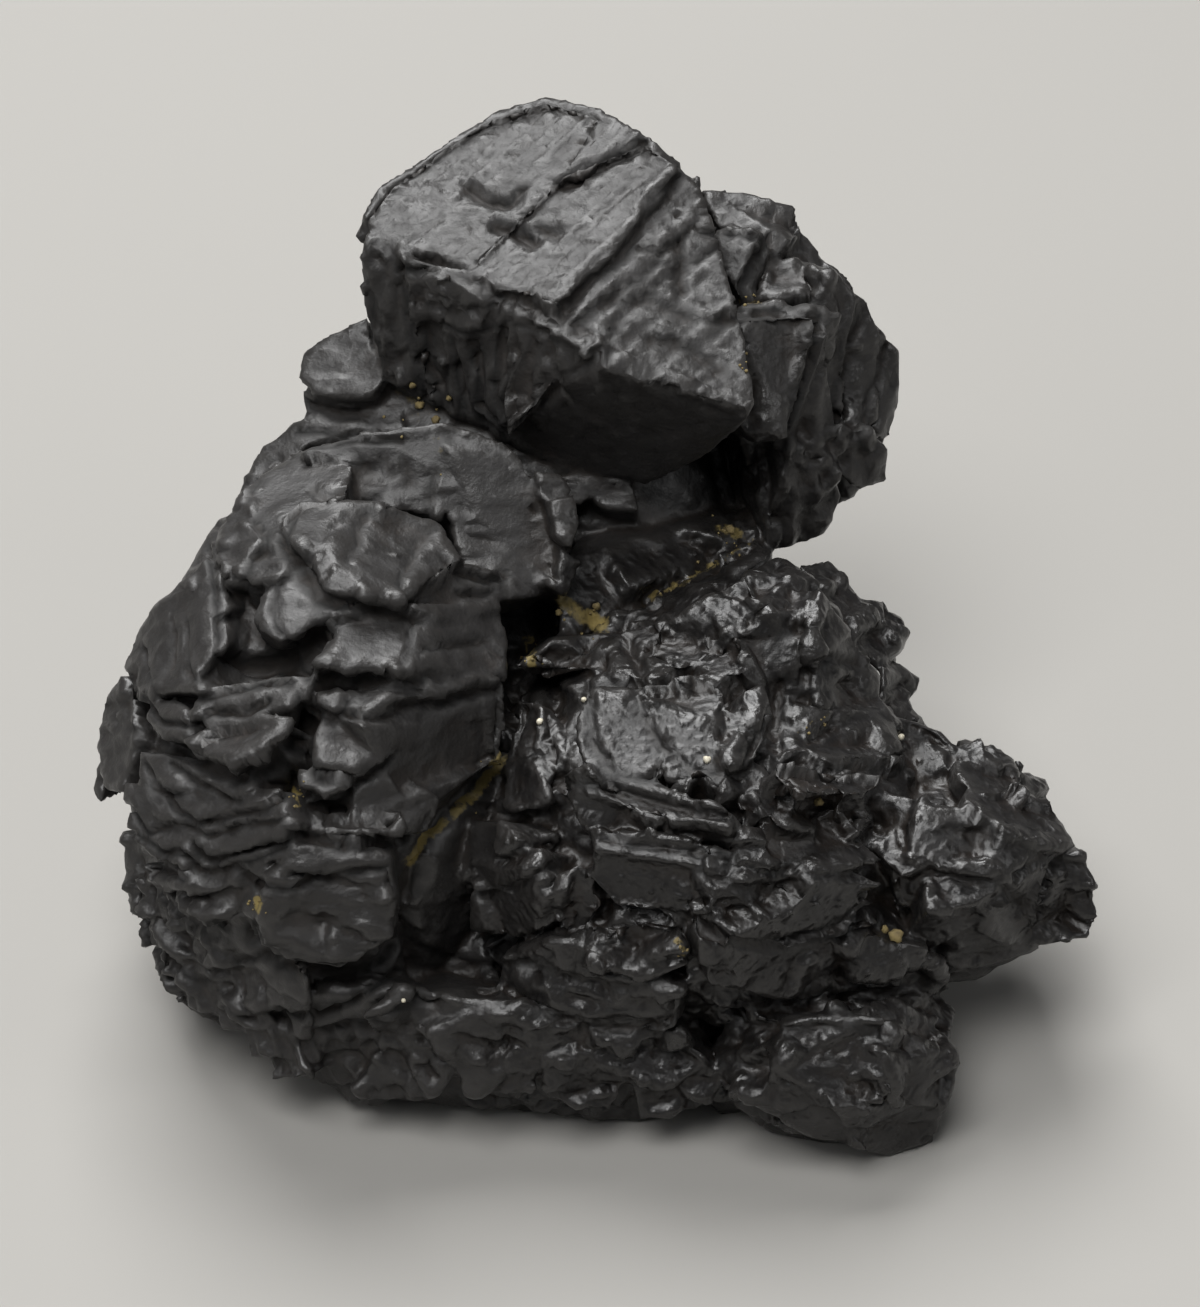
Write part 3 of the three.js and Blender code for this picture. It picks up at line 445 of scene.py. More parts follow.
# %% Coarse facets
COARSE_MOST = (-0.8, 0.7)
coarse = np.zeros(len(points))
for share, size, stretch, lean, wild, seed, turn in [
        (0.25 * block, 3.2, (1.0, 1.3, 1.0), (0.0, 0.0, 0.0), 0.30, 11, 0),
        (cluster, 2.1, (0.6, 2.2, 0.8), (0.0, 0.0, 0.0), 0.34, 23, 0),
        (plates, 2.1, (2.2, 0.75, 1.8), (0.0, -0.26, 0.0), 0.15, 37, 0),
        (wrinkles, 3.0, (1.2, 0.9, 1.0), (0.0, -0.12, 0.0), 0.36, 51, 0),
        (skirt, 1.7, (2.6, 0.5, 1.2), (0.0, -0.20, 0.0), 0.42, 411, -58),
        (belly, 2.0, (1.2, 0.9, 1.0), (0.0, -0.15, 0.0), 0.45, 417, 20),
        (lower, 2.0, (1.3, 0.9, 1.0), (0.0, -0.15, 0.0), 0.40, 431, -25)]:
    coarse += only_where(share, points, lambda p: facets(p, size, stretch, lean, wild, seed, turn))
rim = rim_share(stone)
push(stone, np.clip(coarse * (1 - calm), *COARSE_MOST) * rim)
print("coarse relief from", round(coarse.min(), 2), "to", round(coarse.max(), 2), "mm")

# %% Fine steps on every plate
FINE_GAIN, FINE_MOST = 1.5, 0.35
points = corners(stone)
busy = ease(soft_noise(points / 3.5, 61), -0.25, 0.45)
fine = np.zeros(len(points))
for share, size, stretch, lean, wild, seed, turn in [
        (plates, 1.1, (2.6, 0.6, 1.8), (0.05, -0.22, 0.0), 0.12, 71, 0),
        (cluster, 0.95, (0.7, 2.0, 0.8), (0.0, -0.1, 0.0), 0.22, 83, 0),
        (wrinkles, 1.4, (1.3, 0.8, 1.0), (0.0, -0.16, 0.0), 0.20, 97, 0),
        (skirt, 0.9, (2.4, 0.6, 1.0), (0.0, -0.3, 0.0), 0.30, 421, -58),
        (belly, 1.0, (1.4, 0.8, 1.0), (0.0, -0.2, 0.0), 0.30, 427, 10)]:
    fine += only_where(share, points, lambda p: facets(p, size, stretch, lean, wild, seed, turn))
push(stone, np.clip(FINE_GAIN * fine * busy * (1 - 0.5 * calm), -FINE_MOST, FINE_MOST) * rim, 2, 1)
print("fine relief from", round(fine.min(), 2), "to", round(fine.max(), 2), "mm")

# %% [markdown]
# ## Crystal faces planed flat
# A crystal face is flat to its rim, however rough the rock round it is. Each face is an outline on the
# grid. The skin inside it is brought to the plane that fits it best. Some faces are then turned by a few
# degrees, the first number up and the second to the right, so that they catch as much light as they should.
# Skin much further than PLANE_MOST millimetres from its plane belongs to another crystal and stays.

# %% Plane the faces
CRYSTAL_FACES = [
    ([(353, 228), (384, 176), (514, 95), (556, 89), (638, 124), (672, 145), (706, 165), (656, 183),
      (617, 228), (578, 293), (559, 322), (437, 264)], 0, 0),
    ([(662, 196), (702, 172), (757, 398), (643, 364), (598, 338), (562, 325), (624, 235)], 0, 0),
    ([(398, 257), (446, 270), (495, 293), (466, 402), (424, 383)], -4, -6),
    ([(495, 293), (562, 325), (604, 347), (504, 431), (469, 402)], 0, 0),
    ([(504, 431), (604, 347), (752, 409), (746, 431), (649, 480), (572, 476)], 0, 0),
    ([(743, 315), (817, 315), (791, 402), (778, 444), (752, 434)], 12, -8),
    ([(717, 202), (801, 209), (797, 254), (765, 248)], 8, 0),
    ([(772, 267), (807, 267), (814, 302), (759, 306)], 10, 0),
    ([(817, 318), (836, 335), (804, 441), (785, 441)], -8, 12),
    ([(842, 335), (862, 350), (850, 440), (822, 440)], 10, -8),
    ([(318, 552), (350, 512), (400, 512), (440, 535), (462, 565), (440, 592), (404, 597), (362, 599),
      (328, 587)], 4, 0),
    ([(245, 525), (266, 470), (314, 449), (356, 470), (356, 505), (314, 550), (294, 559), (260, 552)], 0, -3),
    ([(438, 442), (521, 456), (555, 538), (562, 587), (521, 559), (472, 518)], 0, 5),
    ([(335, 614), (424, 611), (411, 676), (318, 673)], 7, 0),
    ([(428, 614), (466, 607), (507, 656), (493, 676), (414, 676)], 0, 6),
    ([(190, 752), (214, 724), (290, 721), (273, 755), (242, 774)], 9, 0),
    ([(145, 676), (170, 607), (204, 580), (218, 621), (222, 663), (156, 697)], 3, -3),
    ([(221, 545), (263, 542), (245, 587), (228, 600)], 5, 0),
    ([(304, 780), (321, 745), (376, 755), (356, 786)], 8, 0),
    ([(321, 807), (404, 814), (390, 835), (356, 855), (318, 842)], 7, 0),
    ([(204, 828), (273, 821), (280, 835), (211, 855)], 7, 0),
    ([(121, 676), (142, 656), (145, 738), (128, 766)], 4, -4),
    ([(338, 718), (493, 718), (497, 766), (404, 797), (376, 766)], -6, 0),
    ([(569, 683), (709, 716), (734, 782), (651, 840), (577, 757)], -9, 3),
    ([(602, 642), (709, 609), (750, 683), (709, 716), (610, 683)], -3, 4),
    ([(775, 757), (873, 724), (906, 766), (840, 815), (783, 807)], 3, 0),
    ([(955, 775), (1015, 775), (1055, 832), (1000, 852), (962, 812)], 0, 0),
    ([(709, 930), (808, 872), (890, 889), (840, 955), (734, 988)], 0, 0),
    ([(573, 860), (701, 889), (705, 922), (618, 971), (557, 930)], -5, 0),
    ([(980, 881), (1063, 856), (1087, 930), (1005, 947), (972, 930)], -4, 0),
    ([(462, 864), (536, 856), (553, 914), (495, 947)], 8, 0),
]
PLANE_MOST = 1.2


def tilted(normal, up, right):
    """The normal turned towards up and towards right by so many degrees: their tangents times those
    directions are added, and the sum is brought back to length one."""
    turned = normal + math.tan(math.radians(up)) * UP + math.tan(math.radians(right)) * RIGHT
    return turned / np.linalg.norm(turned)


def planed(mesh, faces):
    """Corners inside each outline move onto the plane through their mean whose normal is the direction
    that they spread least in, by their share inside the outline. Gives the longest move."""
    points = corners(mesh)
    across, down, _ = to_grid(points)
    visible = seen(mesh)
    moved = 0.0
    for outline, up, right in faces:
        share = inside(across, down, outline, 5) * visible
        held = points[share > 0.5]
        normal = np.linalg.eigh(np.cov(held.T))[1][:, 0]
        normal = tilted(normal * -np.sign(normal @ AWAY), up, right)
        off = (points - held.mean(axis=0)) @ normal
        shift = off * share * ease(PLANE_MOST + 0.5 - np.abs(off), 0, 0.5)
        points -= shift[:, None] * normal
        moved = max(moved, np.abs(shift).max())
    place_corners(mesh, points)
    return moved


print("faces planed by up to", round(planed(stone, CRYSTAL_FACES), 2), "mm")

# %% [markdown]
# ## Wrinkled crust
# On the right mass the crust dried in little folds, like the skin of hot milk. Folds are where soft noise
# crosses zero: one minus its size gives a sharp crest along a winding line. Folds about 1.9 mm and 0.8 mm
# apart are laid over each other. They are strongest where the crust looks up, and come and go in patches.

# %% Folds


def folds(points, size, seed):
    """One minus the size of soft noise, to the fifth power, minus its mean: sharp crests on winding
    lines with flat valleys between."""
    own = points / size
    bend = np.stack([soft_noise(own * 0.5 + 3 * n, seed + n) for n in range(3)], axis=1)
    crest = 1 - np.abs(soft_noise(own * np.array([0.8, 1.0, 1.35]) + 0.9 * bend, seed + 5))
    return crest**5 - 0.2


points = corners(stone)
looks_up = ease(neighbour_mean(stone, outward(stone), 6)[:, 2], 0.0, 0.55)
patchy = 0.25 + 0.75 * ease(soft_noise(points / 3.2, 139), -0.3, 0.4)
crust = only_where(wrinkles * (0.4 + 0.6 * looks_up), points, lambda p: 0.16 * folds(p, 1.9, 131))
crust += only_where(wrinkles * (0.2 + 0.8 * looks_up), points, lambda p: 0.20 * folds(p, 0.8, 149))
crust = crust * patchy * rim
push(stone, crust, 1, 1)
print("folds to", round(crust.max(), 2), "mm")

# %% [markdown]
# ## Ledges and cracks where the eye sees them
# The marks that make this stone itself are laid along lines on the grid. A ledge is a growth step: it is
# high on the left hand of someone walking along its line, and drops sharply on the right. A crack is a
# groove. Both act only on skin that the eye sees. The same lines later give painted shade: the riser under
# each ledge, and each crack, is darkened where the real one lies in its own shade, and holds no polish.

# %% Lines on the skin


def ledge(across, down, line, height, reach):
    """High side: half the height times one minus distance over twice the reach, so that the plate stays
    flat up to its rim. Low side: minus the height, gone at two thirds of the reach."""
    distance, side = line_distance(across, down, line)
    high = 0.5 * height * np.clip(1 - distance / (2 * reach), 0, 1)
    low = -height * np.clip(1 - 1.5 * distance / reach, 0, 1)
    share = ease(distance * side, -2.5, 1.5)
    return low + (high - low) * share


# Painted shade: shade_line says how far the finish darkens the riser below a ledge.
def shade_line(across, down, line, height, reach):
    """A bell on the riser below a ledge, 0.35 of its reach from the line and as wide, times the height's
    share of 0.35 mm."""
    distance, side = line_distance(across, down, line)
    middle = 0.35 * reach
    return min(1.0, height / 0.35) * np.exp(-(((distance * side + middle) / middle) ** 2))


def groove(across, down, line, depth, half_width):
    """Minus depth times a bell of the distance over the half width."""
    distance, _ = line_distance(across, down, line)
    return -depth * np.exp(-((distance / half_width) ** 2))


# %% [markdown]
# The lists below hold the marks: a line, its height or depth in millimetres, and how far it reaches to
# each side in steps of the grid. They were drawn.

# %% Marks on the block and the cluster
BLOCK_LEDGES = [
    ([(364, 236), (392, 252), (420, 258), (448, 270), (500, 289), (540, 299), (570, 315)], 0.14, 14),
    ([(520, 322), (545, 333), (572, 346), (600, 345), (640, 370), (690, 396), (745, 418)], 0.14, 12),
    ([(560, 302), (585, 282), (620, 252), (640, 217), (655, 190), (682, 168)], 0.26, 16),
    ([(577, 322), (602, 302), (640, 276), (664, 247), (682, 233)], 0.20, 12),
    ([(600, 345), (622, 312), (660, 277), (692, 250)], 0.12, 12),
    ([(402, 265), (412, 310), (420, 350), (428, 395)], 0.42, 13),
    ([(455, 340), (462, 370), (470, 405)], 0.42, 13),
    ([(506, 335), (500, 380), (506, 432)], 0.36, 14),
    ([(375, 300), (380, 340), (392, 380)], 0.25, 12),
    ([(508, 438), (530, 405), (556, 374), (600, 349)], 0.12, 12),
    ([(640, 246), (662, 250), (680, 236)], 0.20, 9),
    ([(690, 262), (712, 246), (722, 240)], 0.20, 9),
    ([(438, 322), (470, 328), (500, 322)], 0.25, 10),
    ([(430, 300), (455, 308), (490, 300)], 0.20, 9),
    ([(720, 318), (760, 312), (815, 318)], 0.34, 16),
    ([(742, 304), (780, 306), (815, 298)], 0.30, 10),
    ([(783, 440), (790, 400), (804, 360), (815, 318)], 0.34, 16),
    ([(700, 228), (740, 232), (780, 236)], 0.25, 12),
    ([(770, 240), (752, 275), (742, 300)], 0.30, 12),
    ([(860, 330), (842, 380), (838, 430)], 0.30, 14),
    ([(890, 350), (872, 400), (866, 450)], 0.28, 12),
]
BLOCK_GROOVES = [
    ([(560, 186), (576, 178), (596, 165), (616, 158), (642, 142)], 0.45, 5),
    ([(470, 188), (486, 199), (506, 204)], 0.50, 5),
    ([(500, 225), (520, 232), (536, 242)], 0.55, 5.5),
    ([(512, 202), (524, 190)], 0.30, 4),
    ([(540, 228), (552, 232)], 0.35, 5),
    ([(404, 268), (430, 270)], 0.40, 6),
    ([(680, 238), (680, 290)], 0.35, 5),
    ([(428, 330), (432, 370), (440, 405)], 0.45, 8),
    ([(475, 350), (478, 390), (486, 420)], 0.45, 8),
    ([(610, 305), (650, 300), (690, 320)], 0.20, 7),
    ([(650, 340), (690, 350), (720, 372)], 0.25, 7),
]

# %% Marks on the dome
DOME_LEDGES = [
    ([(291, 545), (300, 558), (313, 560), (317, 580), (322, 592), (350, 597), (376, 602),
      (412, 612)], 0.60, 24),
    ([(313, 670), (345, 674), (395, 677), (412, 679)], 0.70, 22),
    ([(405, 701), (450, 692), (502, 682)], 0.65, 22),
    ([(330, 622), (320, 650), (314, 671)], 0.30, 10),
    ([(398, 676), (405, 650), (412, 610)], 0.15, 14),
    ([(185, 745), (215, 761), (240, 773), (270, 759), (293, 726)], 0.75, 26),
    ([(150, 700), (165, 718), (190, 723), (215, 708), (245, 713), (264, 700)], 0.36, 13),
    ([(165, 695), (185, 697), (215, 692), (245, 688), (262, 680), (290, 679)], 0.34, 12),
    ([(190, 671), (200, 680), (222, 660)], 0.28, 10),
    ([(213, 550), (219, 580), (221, 620), (222, 655)], 0.32, 14),
    ([(243, 575), (250, 562), (262, 552), (262, 540), (254, 528)], 0.28, 14),
    ([(238, 577), (255, 587), (280, 582)], 0.28, 11),
    ([(220, 618), (238, 612)], 0.30, 9),
    ([(283, 588), (276, 605), (277, 625), (290, 640)], 0.22, 9),
    ([(268, 590), (261, 612), (262, 635), (273, 649)], 0.22, 9),
    ([(250, 593), (242, 620), (242, 642), (252, 657)], 0.22, 9),
    ([(300, 518), (292, 535), (291, 550), (298, 559)], 0.26, 11),
    ([(380, 500), (368, 520), (360, 545), (352, 562)], 0.20, 12),
    ([(456, 524), (440, 530), (424, 545), (414, 560), (404, 586)], 0.22, 13),
    ([(440, 470), (436, 492), (430, 516)], 0.20, 12),
    ([(448, 560), (466, 571), (482, 576), (502, 575)], 0.45, 15),
    ([(458, 590), (475, 593), (492, 588)], 0.35, 10),
    ([(430, 648), (455, 645), (480, 640)], 0.25, 10),
    ([(318, 708), (334, 716), (345, 702)], 0.36, 11),
    ([(348, 713), (370, 717), (400, 710)], 0.36, 12),
    ([(297, 775), (305, 789), (325, 798), (345, 791), (353, 778)], 0.60, 15),
    ([(316, 760), (322, 773), (360, 773), (383, 757)], 0.55, 17),
    ([(135, 730), (150, 748), (172, 752), (187, 756)], 0.30, 10),
    ([(176, 617), (177, 640), (175, 666)], 0.24, 9),
    ([(190, 625), (190, 646), (194, 669)], 0.24, 9),
    ([(146, 650), (150, 672), (158, 689)], 0.26, 9),
    ([(150, 765), (160, 786), (176, 790)], 0.40, 12),
    ([(176, 764), (195, 775), (220, 790), (240, 798)], 0.42, 12),
    ([(170, 792), (180, 810), (200, 818), (230, 815), (262, 805), (288, 790)], 0.50, 13),
    ([(138, 812), (150, 830), (168, 824)], 0.36, 11),
    ([(190, 825), (210, 834), (245, 822), (278, 817)], 0.42, 11),
    ([(143, 835), (165, 848), (192, 853)], 0.40, 11),
    ([(202, 846), (215, 856), (240, 849), (262, 839), (282, 838)], 0.52, 14),
    ([(185, 852), (210, 869), (240, 861), (282, 846)], 0.40, 10),
    ([(150, 855), (170, 868), (184, 879)], 0.36, 10),
    ([(250, 872), (266, 882), (290, 886), (302, 878)], 0.55, 18),
    ([(296, 828), (330, 841), (365, 841), (402, 835)], 0.52, 15),
    ([(300, 868), (330, 873), (360, 866), (388, 862)], 0.46, 13),
    ([(260, 930), (285, 958), (330, 963), (375, 956), (396, 928)], 0.50, 22),
    ([(235, 957), (252, 955), (268, 945)], 0.40, 12),
    ([(280, 1009), (305, 1011), (332, 1000)], 0.52, 15),
    ([(340, 1001), (362, 990), (392, 971)], 0.52, 13),
    ([(328, 1024), (350, 1017), (366, 1018), (388, 1012), (412, 994)], 0.52, 14),
    ([(165, 893), (180, 912), (205, 921), (224, 920)], 0.40, 12),
    ([(130, 903), (140, 926), (156, 946)], 0.30, 10),
    ([(172, 955), (190, 972), (206, 978)], 0.30, 10),
    ([(225, 1005), (240, 1016), (252, 1018)], 0.30, 10),
    ([(300, 392), (316, 405), (355, 407)], 0.45, 14),
    ([(300, 430), (322, 428), (350, 436)], 0.30, 12),
    ([(333, 440), (350, 436), (375, 441), (402, 440)], 0.30, 9),
    ([(246, 496), (262, 470), (300, 447), (350, 440)], 0.25, 10),
]
DOME_GROOVES = [
    ([(232, 664), (262, 668), (290, 662), (312, 650), (322, 630)], 1.10, 11),
    ([(312, 490), (322, 497), (352, 488)], 0.20, 3.5),
    ([(361, 460), (366, 472)], 0.25, 4),
    ([(383, 460), (392, 476)], 0.25, 4),
    ([(404, 462), (410, 482)], 0.25, 5),
    ([(300, 700), (306, 722), (302, 748)], 0.45, 7),
    ([(408, 682), (425, 674), (440, 682)], 0.35, 6),
]

# %% Marks on the mass
MASS_LEDGES = [
    ([(560, 775), (600, 782), (640, 792), (690, 806), (735, 812)], 0.60, 22),
    ([(590, 832), (640, 842), (700, 850), (740, 846)], 0.46, 16),
    ([(780, 765), (820, 762), (860, 764), (890, 772)], 0.55, 18),
    ([(690, 915), (720, 935), (760, 940), (810, 930), (860, 920)], 0.60, 20),
    ([(592, 690), (597, 740), (620, 775), (660, 778)], 0.30, 18),
    ([(640, 690), (660, 740), (700, 772), (738, 770)], 0.26, 18),
    ([(560, 690), (600, 682), (650, 684), (700, 682), (736, 692)], 0.20, 12),
    ([(742, 760), (760, 730), (776, 700), (780, 682)], 0.34, 14),
    ([(545, 1006), (590, 1022), (640, 1026), (680, 1012)], 0.46, 18),
    ([(545, 965), (590, 978), (640, 985), (672, 975)], 0.40, 15),
    ([(740, 1000), (790, 1008), (840, 1006), (884, 1014)], 0.45, 12),
    ([(738, 1020), (790, 1026), (850, 1022), (890, 1030)], 0.40, 12),
    ([(950, 828), (1000, 832), (1040, 850), (1087, 862)], 0.40, 16),
    ([(960, 875), (1000, 882), (1040, 905)], 0.40, 16),
    ([(480, 800), (510, 812), (545, 808)], 0.45, 16),
    ([(470, 892), (510, 885), (545, 868)], 0.50, 16),
    ([(440, 950), (490, 962), (540, 955)], 0.36, 16),
    ([(700, 872), (740, 884), (800, 880), (850, 868)], 0.40, 12),
    ([(800, 668), (830, 655), (868, 662)], 0.32, 14),
    ([(720, 636), (760, 640), (800, 628)], 0.28, 12),
    ([(886, 690), (905, 680), (915, 690)], 0.30, 10),
]
MASS_GROOVES = [
    ([(790, 800), (830, 815), (880, 820)], 0.90, 13),
    ([(600, 620), (575, 655), (520, 670), (505, 755), (430, 835), (404, 920), (430, 1000)], 0.70, 10),
    ([(650, 602), (690, 574), (722, 556), (750, 540)], 0.50, 8),
    ([(628, 640), (640, 672)], 0.40, 6),
    ([(556, 690), (552, 750), (560, 800)], 0.50, 9),
    ([(776, 686), (772, 720), (778, 752)], 0.40, 8),
    ([(735, 812), (745, 790)], 0.45, 8),
]
print(len(BLOCK_LEDGES + DOME_LEDGES + MASS_LEDGES), "ledges")

# %% Carve the marks
RISE = 1.5
CRUST_RISE = 1.1
MARK_MOST = (-1.4, 0.8)
WOBBLE, WOBBLE_SIZE = 3, 1.1


def wobbled_grid(points):
    """Across and down on the grid, moved by up to WOBBLE steps of soft noise whose knots are WOBBLE_SIZE
    millimetres apart, so that no line is ruler-straight."""
    across, down, _ = to_grid(points)
    return (across + WOBBLE * soft_noise(points / WOBBLE_SIZE, 201),
            down + WOBBLE * soft_noise(points / WOBBLE_SIZE, 207))


points = corners(stone)
view_mask = seen(stone)
across, down = wobbled_grid(points)
marks = np.zeros(len(points))
for line, height, reach in BLOCK_LEDGES + DOME_LEDGES:
    marks += RISE * ledge(across, down, line, height, reach)
for line, height, reach in MASS_LEDGES:
    marks += CRUST_RISE * ledge(across, down, line, height, reach)
for line, depth, half_width in BLOCK_GROOVES + DOME_GROOVES + MASS_GROOVES:
    marks += RISE * groove(across, down, line, depth, half_width)
push(stone, np.clip(marks, *MARK_MOST) * view_mask * rim, 2, 1)
print("marks from", round(marks.min(), 2), "to", round(marks.max(), 2), "mm")

# %% [markdown]
# ## Striations and pits
# Pyrite faces carry fine parallel steps. On the block's top they run from lower left to upper right, 13
# steps of the grid apart, which is about 0.8 mm. Etch pits are dug round the seeds of some random cells.

# %% Striations and pits
PIT_WIDTH = 0.28


def striations(across, down, pitch, seed):
    """A saw wave across lines that rise to the right, from minus a half to a half: a half less the part of
    the wave's count after the point, with its pitch varied by noise."""
    along = across * 0.74 - down * 0.67
    count = (across * 0.67 + down * 0.74) / pitch
    count = count + 0.8 * soft_noise(np.stack([count * 0.7, along / 160, 0 * along], axis=1), seed)
    return 0.5 - (count - np.floor(count))


def pits(points, size, share, seed):
    """Minus a bell, PIT_WIDTH of a cell wide, round the seeds of those cells whose random number is under
    the share."""
    first, _, draws = cells(points / size, seed)
    return -np.exp(-((first / PIT_WIDTH) ** 2)) * (draws[:, 0] < share)


points = corners(stone)
across, down, _ = to_grid(points)
block, cluster, plates, wrinkles = skins(points)
upward = outward(stone)[:, 2]
top_face = block * ease(upward, 0.35, 0.7)
side_face = block * (1 - ease(upward, 0.35, 0.7))
detail = 0.14 * top_face * striations(across, down, 13, 301)
detail += only_where(top_face, points, lambda p: 0.10 * pits(p, 0.9, 0.16, 311)
                     + facets(p, 0.8, (1.6, 0.8, 1.0), (0, 0, 0), 0.13, 317))
detail += only_where(side_face * (1 - calm), points, lambda p: 0.34 * pits(p, 1.1, 0.45, 323)
                     + facets(p, 1.5, (0.6, 1.6, 1.0), (0, 0, 0), 0.30, 331))
detail += only_where(plates + cluster, points, lambda p: 0.10 * folds(p, 1.1, 347)
                     + 0.12 * pits(p, 0.9, 0.14, 353))
push(stone, detail * rim, 1, 0)
print("detail from", round(detail.min(), 2), "to", round(detail.max(), 2), "mm")

# %% [markdown]
# ## Fewer triangles, where the eye needs them least
# The net is thinned to under 200,000 triangles. Collapsing the shortest and flattest edges first keeps
# crests and ledges. Thin crests can break off as specks smaller than a grain of dust, so those are deleted.

# %% Thin the net
TRIANGLES = 196000
SPARE_LEVELS = 5
SPARE_FACTOR = 0.004


def thinned(mesh, count, spare):
    """The mesh with edges collapsed until about that many triangles are left. An edge costs more by its
    length times two less the spare share of its ends, so that what the eye sees is thinned last."""
    piece = bpy.data.objects.new("thin", mesh)
    bpy.context.scene.collection.objects.link(piece)
    group = piece.vertex_groups.new(name="spare")
    levels = np.round(spare * SPARE_LEVELS).astype(int)
    for level in range(SPARE_LEVELS + 1):
        group.add(np.flatnonzero(levels == level).tolist(), level / SPARE_LEVELS, "REPLACE")
    fewer = piece.modifiers.new("fewer", "DECIMATE")
    fewer.ratio = min(1.0, count / (2 * len(mesh.polygons)))
    fewer.use_collapse_triangulate = True
    fewer.vertex_group = "spare"
    fewer.vertex_group_factor = SPARE_FACTOR
    done = bpy.data.meshes.new_from_object(piece.evaluated_get(bpy.context.evaluated_depsgraph_get()))
    bpy.data.objects.remove(piece)
    return done


def without_specks(mesh):
    """Keeps the largest shell alone. Each corner takes the lowest label among its neighbours until none
    changes, and corners without the commonest label are deleted. Gives the number deleted."""
    ends = np.empty(len(mesh.edges) * 2, int)
    mesh.edges.foreach_get("vertices", ends)
    one, other = ends.reshape(-1, 2).T
    label = np.arange(len(mesh.vertices))
    while True:
        lowest = np.minimum(label[one], label[other])
        spread = label.copy()
        np.minimum.at(spread, one, lowest)
        np.minimum.at(spread, other, lowest)
        spread = spread[spread]
        if np.array_equal(spread, label):
            break
        label = spread
    specks = np.flatnonzero(label != np.bincount(label).argmax())
    cleaned = bmesh.new()
    cleaned.from_mesh(mesh)
    cleaned.verts.ensure_lookup_table()
    bmesh.ops.delete(cleaned, geom=[cleaned.verts[i] for i in specks], context="VERTS")
    cleaned.to_mesh(mesh)
    cleaned.free()
    return len(specks)


stone = thinned(stone, TRIANGLES, 1 - 0.8 * seen(stone))
specks = without_specks(stone)
print("thinned:", len(stone.polygons), "triangles, and", specks, "corners of specks deleted")

# %% [markdown]
# ## What the surface remembers
# Five numbers are kept at each corner for the finish to read: how glossy the crust is, how deep the corner
# lies in a crevice, how much ochre clay the desert left there, how much painted shade it gets on the riser
# of a ledge or in a crack, and how far it stands out as a rim, which gets a painted highlight and a real
# polish. The wrinkled crust is the glossiest, the cluster comes next, and the block and the plates are
# satin. Crevices and rims are found by comparing each corner with its surroundings. Each clay spot is a line
# on the grid, its reach in steps, and how thickly the clay lies.

# %% Gloss, crevice and clay
CLAY_SPOTS = [
    ([(405, 392), (425, 420), (445, 452)], 26, 0.6),
    ([(562, 602), (580, 615), (604, 624)], 19, 1.0),
    ([(722, 528), (738, 532)], 14, 1.0),
    ([(528, 640), (532, 662)], 14, 1.0),
    ([(650, 600), (700, 572), (750, 542)], 10, 0.8),
    ([(505, 755), (470, 800), (430, 835), (408, 862)], 14, 1.0),
    ([(297, 790), (298, 804)], 11, 1.0),
    ([(257, 900), (258, 912)], 10, 1.0),
    ([(800, 730), (830, 714)], 6, 0.8),
    ([(678, 938), (684, 954)], 7, 0.9),
    ([(738, 300), (762, 302)], 8, 0.8),
    ([(745, 340), (744, 376)], 5, 0.6),
]


def hollow(mesh, rounds):
    """How far, in millimetres, a corner lies under the mean of its surroundings along its outward way."""
    points = corners(mesh)
    return np.sum((neighbour_mean(mesh, points, rounds) - points) * outward(mesh), axis=1)


def keep(mesh, name, values):
    """Stores a number at each corner under a name."""
    mesh.attributes.new(name, "FLOAT", "POINT").data.foreach_set("value", values.astype(np.float32))


points = corners(stone)
block, cluster, plates, wrinkles = skins(points)
gloss = np.clip(0.10 + 0.80 * wrinkles + 0.35 * cluster + 0.12 * soft_noise(points / 4, 401), 0, 1)
crevice = ease(hollow(stone, 12), 0.02, 0.30)
# Painted highlight on rims: the finish makes them paler, and it also makes them less rough, as polish.
rim_polish_and_painted_highlight = ease(-hollow(stone, 5), 0.03, 0.14)
across, down = wobbled_grid(points)
# Painted shade: step is how much the finish darkens the riser under each ledge and each crack.
step = np.zeros(len(points))
for line, height, reach in BLOCK_LEDGES + DOME_LEDGES:
    step = np.maximum(step, shade_line(across, down, line, height, reach))
for line, height, reach in MASS_LEDGES:
    step = np.maximum(step, 0.5 * shade_line(across, down, line, height, reach))
for line, depth, half_width in BLOCK_GROOVES + DOME_GROOVES:
    step = np.maximum(step, -groove(across, down, line, min(1.0, depth / 0.4), half_width))
step = step * seen(stone)
clay = np.zeros(len(points))
for line, reach, amount in CLAY_SPOTS:
    distance, _ = line_distance(across, down, line)
    clay = np.maximum(clay, amount * ease(reach - distance, 0, reach * 0.8))
clay = clay * seen(stone, -0.8) * (0.8 + 0.2 * crevice)
KEPT_NUMBERS = {"gloss": gloss, "crevice": crevice, "clay": clay, "step": step, "rim_polish_and_painted_highlight": rim_polish_and_painted_highlight}
for name, values in KEPT_NUMBERS.items():
    keep(stone, name, values)
print("crevice mean", round(crevice.mean(), 3), "clay corners", int((clay > 0.3).sum()))

# %% [markdown]
# ## The finished skin as a piece
# The skin goes back to metres, stands for the measured solid, and rides on its body.

# %% The stone piece


def piece_from(mesh, name):
    """A shown object from a mesh in millimetres, in metres, smooth-shaded, riding on the one body."""
    mesh.vertices.foreach_set("co", (corners(mesh) * MM).ravel())
    mesh.shade_smooth()
    mesh.update()
    mesh.name = name
    made = bpy.data.objects.new(name, mesh)
    bpy.context.scene.collection.objects.link(made)
    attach(made, "root")
    return made


tree = BVHTree.FromPolygons([Vector(p) for p in corners(stone)], [tuple(f.vertices) for f in stone.polygons])
skin = piece_from(stone, "stone_skin")
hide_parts("stone")
print("skin size", [round(s / MM, 2) for s in skin.dimensions], "mm")

